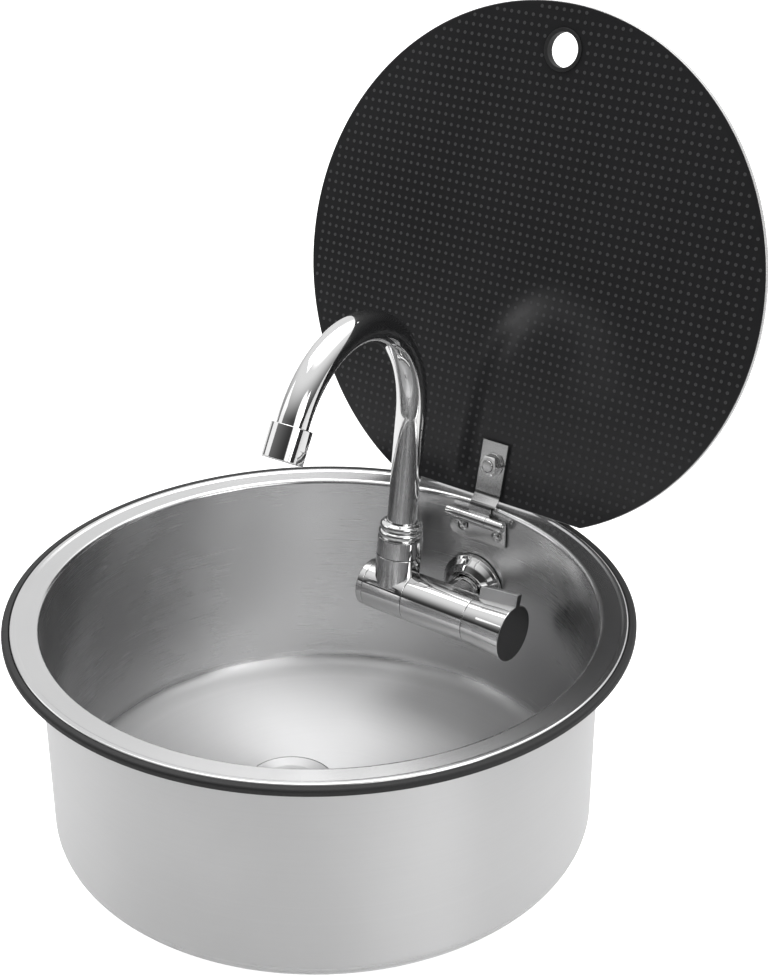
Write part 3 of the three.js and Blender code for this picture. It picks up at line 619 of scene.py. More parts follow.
@dataclass(frozen=True)
class PlainMetal:
    """Bright metal with faint scratches and a little variation."""

    name: str
    bright: float
    rough: float
    tint: float = 1.0
    wear: float = 0.012
    scale: float = 240.0

    def build(self) -> bpy.types.Material:
        """Return the material."""
        graph = Graph(self.name)
        place = graph.place()
        grain = graph.noise(place, self.scale, 4.0, 0.6)
        cloud = graph.noise(place, 30.0, 2.0)
        rough = graph.math("ADD", graph.varied(grain, self.rough, self.wear), graph.varied(cloud, 0, self.wear))
        graph.surface(graph.grey(graph.varied(cloud, self.bright, 0.01), self.tint),
                      graph.math("MAXIMUM", rough, 0.02))
        graph.bump(grain, 0.03, 0.02)
        graph.fixed(Metallic=1.0)
        return graph.material


@dataclass(frozen=True)
class Moulding:
    """Rubber or plastic with a fine moulded grain."""

    name: str
    color: Point3
    rough: float
    grain: float = 900.0
    relief: float = 0.2
    contrast: float = 0.12

    def build(self) -> bpy.types.Material:
        """Return the material."""
        graph = Graph(self.name)
        place = graph.place()
        grain = graph.noise(place, self.grain, 3.0, 0.6)
        mix = graph.add("ShaderNodeMix", data_type="RGBA")
        graph.link(graph.noise(place, 25.0, 2.0), mix.inputs[0])
        for socket, share in ((mix.inputs[6], 1 - self.contrast), (mix.inputs[7], 1 + self.contrast)):
            socket.default_value = (*[min(value * share, 1.0) for value in self.color], 1.0)
        graph.surface(mix.outputs[2], graph.varied(grain, self.rough, 0.06))
        graph.bump(grain, self.relief, 0.05)
        return graph.material


@dataclass(frozen=True)
class BlackGlass:
    """Toughened glass printed black on its back."""

    name: str = "black_glass"
    base: float = 0.023
    rough: float = 0.19

    def build(self) -> bpy.types.Material:
        """Return the material."""
        graph = Graph(self.name)
        cloud = graph.noise(graph.place(), 9.0, 2.0)
        graph.surface(graph.grey(graph.varied(cloud, self.base, self.base * 0.08), 1.05),
                      graph.varied(cloud, self.rough, 0.01))
        graph.fixed(IOR=1.46)
        return graph.material


@dataclass(frozen=True)
class GroundEdge:
    """The pale green-grey ground rim of a glass plate."""

    name: str = "ground_glass_edge"

    def build(self) -> bpy.types.Material:
        """Return the material."""
        graph = Graph(self.name)
        grain = graph.noise(graph.place(), 1500.0)
        graph.surface(graph.grey(graph.varied(grain, 0.55, 0.05)), graph.varied(grain, 0.28, 0.06))
        graph.fixed(IOR=1.52, Metallic=0.35)
        return graph.material


@dataclass(frozen=True)
class Finish:
    """A material with a slot name."""

    material: bpy.types.Material
    slot: str


class Finishes:
    """Every finish of the sink, made once."""

    def __init__(self) -> None:
        """Build the materials."""
        steel = SpunSteel().build()
        self.bowl = Finish(steel, "bowl_steel")
        self.satin = Finish(steel, "bright_steel")
        self.bright = Finish(PlainMetal("bright_steel", 0.66, 0.17).build(), "bright_steel")
        self.chrome = Finish(PlainMetal("tap_chrome", 0.72, 0.05, wear=0.006).build(), "tap_chrome")
        self.rubber = Finish(Moulding("black_rubber", (0.007, 0.007, 0.0075), 0.62).build(), "black_rubber")
        self.glass = Finish(BlackGlass().build(), "tinted_glass")
        self.glass_edge = Finish(GroundEdge().build(), "tinted_glass")
        self.dots = Finish(Moulding("grey_print", (0.048, 0.048, 0.05), 0.45, relief=0.05).build(), "tinted_glass")
        # This black finish is used only on the knob's end insert, which covers the whole end, fin included. Its black
        # is painted reflection, standing for the chrome end reflecting dark surroundings.
        self.black = Finish(Moulding("black_plastic", (0.022, 0.022, 0.023), 0.38).build(), "black_plastic")
        self.white = Finish(Moulding("white_plastic", (0.72, 0.72, 0.7), 0.5).build(), "white_plastic")
        self.grey = Finish(Moulding("grey_plastic", (0.16, 0.16, 0.165), 0.5).build(), "grey_plastic")
        self.brass = Finish(PlainMetal("turned_brass", 0.55, 0.3, tint=0.55, wear=0.03).build(), "brass")


class Body(Enum):
    """The bodies that pieces move with."""

    ROOT = "root"
    LID = "lid"
    ARM = "swing_arm"
    SPOUT = "spout"
    KNOB = "knob"


@dataclass
class Workshop:
    """Finishes the pieces: shading, material, body and the node that each stands for."""

    finishes: Finishes
    made: int = 0

    def fit(self, piece: bpy.types.Object, body: Body, finish: Finish, *nodes: str, smooth: bool = True) -> None:
        """Dress a piece and tie it to its body.

        Args:
            piece: Object in place.
            body: Body that it moves with.
            finish: Its material, used unless the piece already has some.
            nodes: CAD nodes that it stands for.
            smooth: Whether to shade it smooth.
        """
        if smooth:
            smoothed(piece)
        if not piece.data.materials:
            piece.data.materials.append(finish.material)
        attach(piece, body.value)
        if nodes:
            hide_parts(*nodes)
        self.made += 1
        LOG.info("piece %s on %s, %d faces", piece.name, body.value, len(piece.data.polygons))

    def add(self, body: Body, finish: Finish, node: str, suffix: str, base: Solid, *changes: Change) -> None:
        """Make the piece that stands for a CAD node.

        Args:
            body: Body that it moves with.
            finish: Its finish.
            node: The CAD node, which starts the piece's name.
            suffix: End of the piece's name.
            base: First solid.
            changes: Solids joined to it or cut from it.
        """
        self.fit(shaped(f"{node}_{suffix}", base, *changes), body, finish, node)


# ---------------------------------------------------------------- geometry node trees
class Tree(Nodes):
    """A geometry node tree that ends in Realize Instances and Set Material."""

    def __init__(self, name: str) -> None:
        """Start a tree with one geometry output."""
        super().__init__(bpy.data.node_groups.new(name, "GeometryNodeTree"))
        for side in ("INPUT", "OUTPUT"):
            self.tree.interface.new_socket("Geometry", in_out=side, socket_type="NodeSocketGeometry")
        self.inputs = self.add("NodeGroupInput")
        self.output = self.add("NodeGroupOutput")

    def socket(self, name: str, kind: str) -> bpy.types.NodeSocket:
        """Add a named input and return its socket inside the tree."""
        self.tree.interface.new_socket(name, in_out="INPUT", socket_type=f"NodeSocket{kind}")
        return self.inputs.outputs[name]

    def finish(self, points: bpy.types.NodeSocket, instance: bpy.types.NodeSocket) -> None:
        """End the tree in copies on points, made real and dressed."""
        copies = self.add("GeometryNodeInstanceOnPoints")
        realize = self.add("GeometryNodeRealizeInstances")
        dress = self.add("GeometryNodeSetMaterial")
        self.link(points, copies.inputs["Points"])
        self.link(instance, copies.inputs["Instance"])
        self.link(copies.outputs[0], realize.inputs[0])
        self.link(realize.outputs[0], dress.inputs["Geometry"])
        self.link(self.socket("Finish", "Material"), dress.inputs["Material"])
        self.link(dress.outputs[0], self.output.inputs[0])

    def run(self, name: str, **values: object) -> bpy.types.Object:
        """Run the tree on a new object and return it with a plain mesh.

        Args:
            name: Name of the new object.
            values: Input values by socket name, with underscores for spaces.

        Returns:
            The object.
        """
        piece = add_object(name, bpy.data.meshes.new(name))
        modifier = piece.modifiers.new("repeat", "NODES")
        modifier.node_group = self.tree
        for item in self.tree.interface.items_tree:
            key = item.name.replace(" ", "_")
            if item.in_out == "INPUT" and key in values:
                modifier[item.identifier] = values[key]
        return settled(piece)


class CopyRow(Tree):
    """Copies of one piece in a straight row, such as the turns of a thread."""

    def __init__(self) -> None:
        """Build the tree."""
        super().__init__("copy_row")
        info = self.add("GeometryNodeObjectInfo")
        line = self.add("GeometryNodeMeshLine")
        for name, kind, target in (("Piece", "Object", info.inputs["Object"]), ("Count", "Int", line.inputs["Count"]),
                                   ("Start", "Vector", line.inputs["Start Location"]),
                                   ("Step", "Vector", line.inputs["Offset"])):
            self.link(self.socket(name, kind), target)
        self.finish(line.outputs[0], info.outputs["Geometry"])


class DotGrid(Tree):
    """A grid of round dots inside a disc, clear of its straight edge, a hole and a strap."""

    DOT_SIDES = 10
    DOT_HEIGHT = 0.06

    def __init__(self) -> None:
        """Build the tree."""
        super().__init__("dot_grid")
        grid = self.add("GeometryNodeMeshGrid")
        for axis, size in (("X", "Width"), ("Y", "Length")):
            self.link(self.socket(size, "Float"), grid.inputs[f"Size {axis}"])
            self.link(self.socket(f"Count {axis}", "Int"), grid.inputs[f"Vertices {axis}"])
        dot, keep, chord, hole_radius, strap_x, strap_half, strap_end = [
            self.socket(name, "Float") for name in ("Dot Radius", "Disc Radius", "Chord", "Hole Radius", "Strap X",
                                                    "Strap Half", "Strap End")]
        place = self.add("GeometryNodeInputPosition").outputs[0]
        split = self.add("ShaderNodeSeparateXYZ")
        self.link(place, split.inputs[0])
        across, along = split.outputs[:2]
        reach = self.add("ShaderNodeVectorMath", operation="LENGTH")
        self.link(place, reach.inputs[0])
        to_hole = self.add("ShaderNodeVectorMath", operation="DISTANCE")
        self.link(place, to_hole.inputs[0])
        self.link(self.socket("Hole Place", "Vector"), to_hole.inputs[1])
        aside = self.math("ABSOLUTE", self.math("SUBTRACT", across, strap_x))
        near_strap = self.math("MULTIPLY", self.math("LESS_THAN", aside, strap_half),
                               self.math("GREATER_THAN", along, strap_end))
        drop = near_strap
        for test, value, limit in (("GREATER_THAN", reach.outputs["Value"], keep), ("GREATER_THAN", along, chord),
                                   ("LESS_THAN", to_hole.outputs["Value"], hole_radius)):
            drop = self.math("ADD", drop, self.math(test, value, limit))
        delete = self.add("GeometryNodeDeleteGeometry", domain="POINT")
        self.link(grid.outputs[0], delete.inputs[0])
        self.link(self.math("GREATER_THAN", drop, 0.5), delete.inputs["Selection"])
        disc = self.add("GeometryNodeMeshCylinder", fill_type="NGON")
        disc.inputs["Vertices"].default_value = self.DOT_SIDES
        disc.inputs["Depth"].default_value = self.DOT_HEIGHT * MM
        self.link(dot, disc.inputs["Radius"])
        self.finish(delete.outputs[0], disc.outputs["Mesh"])


# ---------------------------------------------------------------- bowl
@dataclass
class Bowl:
    """The pressed steel bowl with its rolled rim and the rubber ring under it."""

    sheet: float = 0.8
    rim_top: float = 4.9
    rim_low: float = 1.6
    ledge_top: float = 4.1
    rim_radius: float = 190.2
    depth: float = 149.1
    corner: float = 16.0
    ledge_bend: float = 3.0
    bead_width: float = 3.8
    gasket_radius: float = 195.0
    gasket_top: float = 4.6
    gasket_web: float = 1.2
    gasket_inner: float = 183.0
    drain_edge: float = 34.5
    drain_drop: float = 2.6
    drain_hole: float = 20.0
    tap_hole: float = 10.9
    steps: int = 240

    def skin(self) -> Solid:
        """Return the pressed shell without its holes."""
        low, wall, edge, sheet, bead = -self.depth, WALL_OUTSIDE, self.rim_radius, self.sheet, self.bead_width
        outer = rounded([(0, low, 0), (wall, low, self.corner), (wall, self.ledge_top - sheet, self.ledge_bend - sheet),
                         (edge - bead, self.ledge_top - sheet, 1.0), (edge - bead + 1.2, self.rim_top - sheet, 0.8),
                         (edge - sheet, self.rim_top - sheet, 1.0), (edge - sheet, self.rim_low, 0)], parts=10)
        inner = rounded([(edge, self.rim_low, 0), (edge, self.rim_top, 1.8), (edge - bead + 0.8, self.rim_top, 1.0),
                         (edge - bead - 0.6, self.ledge_top, 1.0), (wall - sheet, self.ledge_top, self.ledge_bend),
                         (wall - sheet, low + sheet, self.corner - sheet), (0, low + sheet, 0)], parts=10)
        return revolve(outer + inner, self.steps)

    def dish(self) -> Solid:
        """Return the pressed dish round the drain."""
        top = -self.depth + self.sheet
        edge, hole, drop, sheet = self.drain_edge, self.drain_hole, self.drain_drop, self.sheet
        upper = rounded([(edge, top, 0), (edge - 4.4, top, 0.25), (edge - 4.8, top - drop, 0.3),
                         (hole, top - drop, 0)], parts=8)
        lower = rounded([(hole, top - drop - sheet, 0), (edge - 4.6, top - drop - sheet, 0.7),
                         (edge - 3.4, top - sheet, 0.5), (edge, top - sheet, 0)], parts=8)
        return revolve(upper + lower, 96, closed=True).moved(shift(DRAIN.x, DRAIN.y))

    def build(self, shop: Workshop) -> None:
        """Make the bowl and its gasket."""
        opening = rod(self.drain_edge, -160, -140, steps=96)
        changes = [(Cut.TAKE, opening.moved(shift(DRAIN.x, DRAIN.y))),
                   (Cut.TAKE, rod(self.tap_hole, 160, 186).moved(shift(z=TAP.z), ALONG_Y))]
        for across in LEAF_SCREWS:
            hole = rod(LEAF_HOLE, 160, 186, steps=32)
            changes.append((Cut.TAKE, hole.moved(shift(across, 0, PIN.z - LEAF_SCREW_DROP), ALONG_Y)))
        bowl = shaped("sink_bowl_steel", self.skin(), *changes)
        work = bmesh.new()
        work.from_mesh(bowl.data)
        work.from_mesh(to_mesh(self.dish(), "dish"))
        bmesh.ops.remove_doubles(work, verts=work.verts, dist=2e-6)
        work.to_mesh(bowl.data)
        work.free()
        shop.fit(bowl, Body.ROOT, shop.finishes.bowl, "sink_bowl")
        low, inner = self.gasket_inner, self.rim_radius + GAP
        gasket = rounded([(low, 0, 0.3), (self.gasket_radius, 0, 1.2), (self.gasket_radius, self.gasket_top, 1.9),
                          (inner, self.gasket_top, 0.8), (inner, self.gasket_web, 0.2), (low, self.gasket_web, 0.3)],
                         closed=True, parts=7)
        shop.add(Body.ROOT, shop.finishes.rubber, "rim_gasket", "ring", revolve(gasket, self.steps, closed=True))


# ---------------------------------------------------------------- hinge
@dataclass
class Hinge:
    """The leaf on the wall, the pin and the strap that carries the glass."""

    x: float = 3.1
    thick: float = 1.6
    knuckle: float = 4.0
    pin: float = 2.3
    length: float = 45.8
    roll_left: float = -11.0
    roll_right: float = 9.3
    drop: float = 17.9
    top: float = 4.8
    corner: float = 11.0
    strap_thick: float = 1.8

    def leaf(self) -> bpy.types.Object:
        """Return the leaf, bent to the wall, with its rolled knuckles."""
        half = self.length / 2
        left, right = self.x - half, self.x + half
        outline = rounded([(left, -self.top, 0.5), (left, -self.drop, self.corner), (right, -self.drop, 1.4),
                           (right, -self.top, 0.5)], closed=True, parts=10)
        holes = [circle(across, -LEAF_SCREW_DROP, LEAF_HOLE, 32) for across in LEAF_SCREWS]
        front = plate(outline, holes, 150, 200, 0)
        radius = WALL_INSIDE - GAP
        sheet = revolve([(radius - self.thick, -40), (radius, -40), (radius, 0), (radius - self.thick, 0)], 300,
                        closed=True)
        at_pin = shift(self.x, PIN.y, PIN.z)
        changes = [(Cut.KEEP, front.moved(shift(z=PIN.z) @ SWAP_YZ))]
        for start, end, deep in ((-half, self.roll_left - GAP, 2.8), (self.roll_right + GAP, half, 2.3)):
            roll = plate(circle(0, 0, self.knuckle, 48), [], start, end, 0.3)
            web = plate(rectangle(start + 0.1, end - 0.1, -self.top - 1, 0), [], deep, deep + 1.6, 0)
            changes += [(Cut.JOIN, roll.moved(at_pin, ALONG_X)), (Cut.JOIN, web.moved(at_pin, SWAP_YZ))]
        changes.append((Cut.TAKE, rod(self.pin + GAP, -30, 30, steps=40).moved(at_pin, ALONG_X)))
        return eased(shaped("hinge_leaf_plate", sheet, *changes), 0.25)

    def strap(self, top: float) -> bpy.types.Object:
        """Return the strap, rolled round the pin and cranked up to the glass.

        Args:
            top: Height of the strap's flat upper face above the pin.

        Returns:
            The strap in the lid's place.
        """
        thick = self.strap_thick
        middle = top - thick / 2
        tangent = self.knuckle - thick / 2 - 0.2
        line = rounded([(0, tangent, 0), (10.2, tangent, 7), (16.6, middle, 7), (STRAP_END, middle, 0)], parts=10)
        near, far = [], []
        for i, (x, y) in enumerate(line):
            before = Vector(line[max(i - 1, 0)])
            after = Vector(line[min(i + 1, len(line) - 1)])
            along = (after - before).normalized()
            near.append((x - along.y * thick / 2, y + along.x * thick / 2))
            far.append((x + along.y * thick / 2, y - along.x * thick / 2))
        left, right = STRAP_X - STRAP_WIDTH / 2, STRAP_X + STRAP_WIDTH / 2
        roll_left, roll_right = self.x + self.roll_left, self.x + self.roll_right
        place = PLACES["lid"]
        to_lid = Matrix(((0, 0, 1, 0), (-1, 0, 0, 0), (0, 1, 0, 0), (0, 0, 0, 1)))
        side = plate(list(reversed(near + far[::-1])), [], left, right, 0)
        changes = [(kind, solid.moved(place, to_lid)) for kind, solid in (
            (Cut.TAKE, rod(10.5, roll_right, right + 1)),
            (Cut.JOIN, plate(circle(0, 0, self.knuckle, 48), [], roll_left, roll_right, 0.3)),
            (Cut.TAKE, rod(self.pin + GAP, -40, 40, steps=40)))]
        hole = rod(4.5, top - 6, top + 6, steps=40).moved(place, shift(STRAP_X, -BOLT_REACH, 0))
        return eased(shaped("hinge_strap_steel", side.moved(place, to_lid), *changes, (Cut.TAKE, hole)), 0.3)

    def screws(self, shop: Workshop) -> None:
        """Make the leaf's screws, with crossed slots, and the nuts behind the wall."""
        steel = shop.finishes.bright
        low = PIN.z - LEAF_SCREW_DROP
        for across, label in zip(LEAF_SCREWS, ("left", "right")):
            face = math.sqrt((WALL_INSIDE - GAP - self.thick) ** 2 - across ** 2) - GAP - 0.45
            head = turned((0, -1.9, 0), (2.2, -1.75, 1.5), (3.9, -0.4, 0.6), (3.9, 0, 0.1), (2.0, 0, 0),
                          (2.0, 9.4, 0.4), (0, 9.4, 0), steps=64)
            place = shift(across, face, low)
            slot = plate(rectangle(-2.3, 2.3, -0.42, 0.42), [], -3.0, -0.8, 0)
            slots = [(Cut.TAKE, slot.moved(place, ALONG_Y, Matrix.Rotation(math.radians(turn), 4, "Z")))
                     for turn in (20, 110)]
            shop.add(Body.ROOT, steel, f"leaf_screw_{label}", "head", head.moved(place, ALONG_Y), *slots)
            back = math.sqrt(WALL_OUTSIDE ** 2 - across ** 2) + GAP + 0.6
            nut = plate(hexagon(7), [circle(0, 0, 2.3, 32)], 0, 3.2, 0.35)
            shop.add(Body.ROOT, steel, f"leaf_nut_{label}", "hex", nut.moved(shift(across, back, low), ALONG_Y))

    def build(self, shop: Workshop, strap_top: float) -> None:
        """Make the hinge.

        Args:
            shop: Where pieces are finished.
            strap_top: Height of the strap's flat face above the pin, lid shut.
        """
        steel = shop.finishes.bright
        shop.fit(self.leaf(), Body.ROOT, steel, "hinge_leaf")
        reach = self.length / 2 + 0.8
        pin = rod(self.pin, -reach, reach, (0.5, 0.5), 48)
        shop.add(Body.ROOT, steel, "hinge_pin", "steel", pin.moved(shift(self.x, PIN.y, PIN.z), ALONG_X))
        shop.fit(self.strap(strap_top), Body.LID, steel, "hinge_strap")
        self.screws(shop)


# ---------------------------------------------------------------- lid
@dataclass
class Lid:
    """The printed glass with its finger ring and the bolt that holds it to the strap."""

    x: float = 2.2
    radius: float = 174.8
    glass: float = 4.0
    reach: float = 170.9
    rise: float = 11.4
    chord: float = 13.6
    finger_reach: float = 316.1
    finger_x: float = 6.3
    finger_radius: float = 11.2
    grommet: float = 13.8
    bolt: float = 4.0
    nut_flats: float = 13.0
    nut_height: float = 4.0
    washer: float = 1.2
    pad: float = 0.6
    dot_pitch: Point2 = (5.56, 6.07)
    dot_count: tuple[int, int] = (65, 61)
    dot_radius: float = 1.2

    def pane(self, shop: Workshop) -> None:
        """Make the glass with its ground edge."""
        end = math.degrees(math.acos((self.reach - self.chord) / self.radius))
        outer = arc(self.x, -self.reach, self.radius, 90 + end, 450 - end, 300)
        holes = [circle(STRAP_X, -BOLT_REACH, self.bolt + 1, 48),
                 circle(self.finger_x, -self.finger_reach, self.grommet - 1.4, 64)]
        low, high = self.rise - self.glass / 2, self.rise + self.glass / 2
        glass = plate(outer, holes, low, high, 1.1, 5)
        pane = smoothed(shaped("glass_lid_pane", glass.moved(PLACES["lid"])))
        pane.data.materials.append(shop.finishes.glass.material)
        pane.data.materials.append(shop.finishes.glass_edge.material)
        face = PLACES["lid"].to_3x3() @ Vector((0, 0, 1))
        for polygon in pane.data.polygons:
            if abs(polygon.normal.dot(face)) < 0.8:
                polygon.material_index = 1
        shop.fit(pane, Body.LID, shop.finishes.glass, "glass_lid", smooth=False)

    def dots(self, shop: Workshop) -> None:
        """Make the printed dots on both faces."""
        tree = DotGrid()
        place = PLACES["lid"].copy()
        place.translation = place.translation * MM
        (wide, long), (pitch_x, pitch_y) = self.dot_count, self.dot_pitch
        sizes = {"Width": pitch_x * (wide - 1), "Length": pitch_y * (long - 1), "Dot_Radius": self.dot_radius,
                 "Disc_Radius": self.radius - 3.4, "Chord": self.reach - self.chord - 3.0,
                 "Hole_Radius": self.grommet + 2.4, "Strap_X": STRAP_X - self.x, "Strap_Half": 12.5,
                 "Strap_End": self.reach - 57.5}
        hole = ((self.finger_x - self.x) * MM, (self.reach - self.finger_reach) * MM, 0.0)
        half = self.glass / 2 + 0.01
        for name, height in (("lid_print_dots", self.rise - half), ("lid_print_dots_back", self.rise + half)):
            dots = tree.run(name, Count_X=wide, Count_Y=long, Hole_Place=hole, Finish=shop.finishes.dots.material,
                            **{key: size * MM for key, size in sizes.items()})
            dots.data.transform(place @ Matrix.Translation((self.x * MM, -self.reach * MM, height * MM)))
            shop.fit(dots, Body.LID, shop.finishes.dots, smooth=False)

    def ring(self, shop: Workshop) -> None:
        """Make the rubber ring in the finger hole."""
        waist, face = self.grommet - 1.7, self.glass / 2 + GAP
        lip = face + 1
        inner, outer = self.finger_radius, self.grommet
        shape = ring((inner, -lip, 0.5), (outer, -lip, 0.7), (outer, -face, 0.2), (waist, -face, 0),
                     (waist, face, 0), (outer, face, 0.2), (outer, lip, 0.7), (inner, lip, 0.5), steps=96)
        place = shift(self.finger_x, -self.finger_reach, self.rise)
        shop.add(Body.LID, shop.finishes.rubber, "finger_grommet", "ring", shape.moved(PLACES["lid"], place))

    def build(self, shop: Workshop) -> float:
        """Make the lid.

        Args:
            shop: Where pieces are finished.

        Returns:
            The height of the strap's flat upper face above the pin.
        """
        self.pane(shop)
        self.dots(shop)
        self.ring(shop)
        steel, rubber, bolt = shop.finishes.bright, shop.finishes.rubber, self.bolt
        pad_top = self.rise - self.glass / 2 - GAP
        pad_low = pad_top - self.pad
        strap_top = pad_low - GAP
        washer_low = strap_top - 1.8 - GAP - self.washer
        nut_low = washer_low - GAP - self.nut_height
        top_washer = self.rise + self.glass / 2 + GAP
        head_low = top_washer + self.washer + GAP
        place = PLACES["lid"] @ shift(STRAP_X, -BOLT_REACH, 0)
        outline = rectangle(-9.5, 9.5, BOLT_REACH - STRAP_END + 0.5, BOLT_REACH - 18.5)
        pad = plate(outline, [circle(0, 0, bolt + 0.5, 40)], pad_low, pad_top, 0.15)
        shank = turned((0, nut_low - 1, 0), (bolt, nut_low - 1, 0.7), (bolt, head_low, 0), (9, head_low, 0.3),
                       (9, head_low + 1.2, 1.5), (5.5, head_low + 2.8, 4), (0, head_low + 3.2, 0), steps=64)
        hexes = plate(hexagon(self.nut_flats), [circle(0, 0, bolt + GAP, 48)], nut_low, nut_low + self.nut_height, 0.15)
        cone = turned((0, nut_low - 1, 0), (5.6, nut_low - 0.3, 0.5), (7.9, nut_low + 1.5, 0), (7.9, nut_low + 5, 0),
                      (0, nut_low + 6, 0), steps=64)
        for finish, node, suffix, solid, *changes in (
                (rubber, "strap_pad", "rubber", pad), (steel, "lid_bolt", "steel", shank),
                (rubber, "lid_bolt_washer", "rubber",
                 washer(bolt + GAP, 10, top_washer, top_washer + self.washer, 0.4)),
                (steel, "lid_nut_washer", "steel", washer(bolt + GAP, 8.4, washer_low, washer_low + self.washer)),
                (steel, "lid_nut", "hex", hexes, (Cut.KEEP, cone.moved(place)))):
            shop.add(Body.LID, finish, node, suffix, solid.moved(place), *changes)
        return strap_top


# ---------------------------------------------------------------- tap
@dataclass
class Tap:
    """The tap: body through the wall, knob, folding socket, coupling nut and gooseneck."""

    body_radius: float = 17.2
    body_left: float = -24.1
    body_right: float = 26.2
    shank: float = 10.4
    shank_end: float = 79.3
    cartridge_left: float = -8.0
    cartridge_bore: float = 11.7
    spigot_bore: float = 9.2
    inlet: float = 6.5
    waterway: float = 5.0
    flange: float = 24.0
    knob_length: float = 31.5
    knob_radius: float = 19.9
    fin_half: float = 3.0
    fin_reach: float = 28.2
    fin_lean: float = 13.8
    socket_left: float = -57.3
    end_cap_left: float = -62.6
    cup_top: float = 28.4
    cup_radius: float = 15.8
    cup_thread: float = 13.6
    nut_top: float = 53.2
    riser_bottom: float = 30.0
    riser_top: float = 129.8
    neck: float = 75.8
    sweep: float = 155.4
    tube: float = 10.4
    tube_wall: float = 1.4
    tail: float = 11.0
    aerator: float = 13.3
    aerator_length: float = 22.0
    thread_turns: int = 13
    thread_pitch: float = 1.81

    def body(self, shop: Workshop) -> None:
        """Make the body and its cover ring."""
        chrome, place = shop.finishes.chrome, PLACES["tap"]
        left, right, shank = self.body_left, self.body_right, self.shank
        changes = [(kind, solid.moved(place, way)) for kind, solid, way in (
            (Cut.JOIN, rod(shank, 6, self.shank_end, (0, 0.8), 72), ALONG_Y),
            (Cut.JOIN, rod(shank + 1.6, 6, 30, (0, 0.8), 72), ALONG_Y),
            (Cut.TAKE, rod(self.cartridge_bore, self.cartridge_left, right + 5), ALONG_X),
            (Cut.TAKE, rod(self.spigot_bore, left - 5, left + 13), ALONG_X),
            (Cut.TAKE, rod(self.waterway, left, 0, steps=48), ALONG_X),
            (Cut.TAKE, rod(self.inlet, 0, 212, steps=48), ALONG_Y))]
        barrel = rod(self.body_radius, left, right, (0.5, 0.5), 96)
        shop.add(Body.ROOT, chrome, "valve_body", "chrome", barrel.moved(place, ALONG_X), *changes)
        face, rim, bore = WALL_INSIDE - TAP.y - GAP, self.flange, shank + GAP + 1.9
        dome = ring((bore, face - 11, 0.4), (bore + 2.6, face - 10.9, 1.2), (rim - 4.8, face - 8.3, 6),
                    (rim - 1.8, face - 4.9, 2), (rim, face - 3.2, 0.8), (rim, face + 0.8, 0.2),
                    (shank + GAP, face + 0.8, 0), (shank + GAP, face - 8, 0), (bore, face - 8, 0), steps=96)
        wall = rod(WALL_INSIDE - GAP, -60, 60, steps=360)
        shop.add(Body.ROOT, chrome, "wall_flange", "dome", dome.moved(place, ALONG_Y),
                 (Cut.KEEP, wall.moved(shift(z=TAP.z))))

    def fixing(self, shop: Workshop) -> None:
        """Make what holds the body to the wall."""
        place, shank = PLACES["tap"], self.shank
        back = WALL_OUTSIDE - TAP.y
        seal = washer(shank + GAP, 17, back - 3, back + 3, 0.5)
        outside = rod(WALL_OUTSIDE + 0.4, -60, 60, steps=360)
        shop.add(Body.ROOT, shop.finishes.rubber, "shank_seal", "rubber", seal.moved(place, ALONG_Y),
                 (Cut.TAKE, outside.moved(shift(z=TAP.z))))
        start = back + 3 + GAP
        flat = washer(shank + GAP, 18, start, start + 1.6)
        shop.add(Body.ROOT, shop.finishes.bright, "shank_washer", "steel", flat.moved(place, ALONG_Y))
        nut = plate(hexagon(30), [circle(0, 0, shank + GAP)], start + 1.9, start + 9.6, 0.6)
        shop.add(Body.ROOT, shop.finishes.brass, "shank_nut", "hex", nut.moved(place, ALONG_Y))
        turn = ring((shank - 0.6, -0.9, 0), (shank - 0.05, -0.9, 0), (shank + 0.22, 0, 0.1), (shank - 0.05, 0.9, 0),
                    (shank - 0.6, 0.9, 0))
        master = add_object("thread_turn", to_mesh(turn.moved(ALONG_Y), "thread_turn"))
        first = TAP + Vector((0, start + 11.4, 0))
        thread = CopyRow().run("shank_thread", Piece=master, Count=self.thread_turns, Start=tuple(first * MM),
                               Step=(0.0, self.thread_pitch * MM, 0.0), Finish=shop.finishes.chrome.material)
        bpy.data.objects.remove(master)
        shop.fit(thread, Body.ROOT, shop.finishes.chrome)

    def knob_end(self, shrink: float) -> list[Point2]:
        """Return the outline of the knob's end, fin along +X, drawn in by a margin."""
        radius, half, reach = self.knob_radius - shrink, self.fin_half - shrink, self.fin_reach - shrink
        foot = math.degrees(math.asin(half / radius))
        fin = rounded([(radius, -half, 0), (reach, -half, 1.0), (reach, half, 1.0), (radius, half, 0)], parts=4)
        return arc(0, 0, radius, foot, 360 - foot, 90) + fin[1:-1]

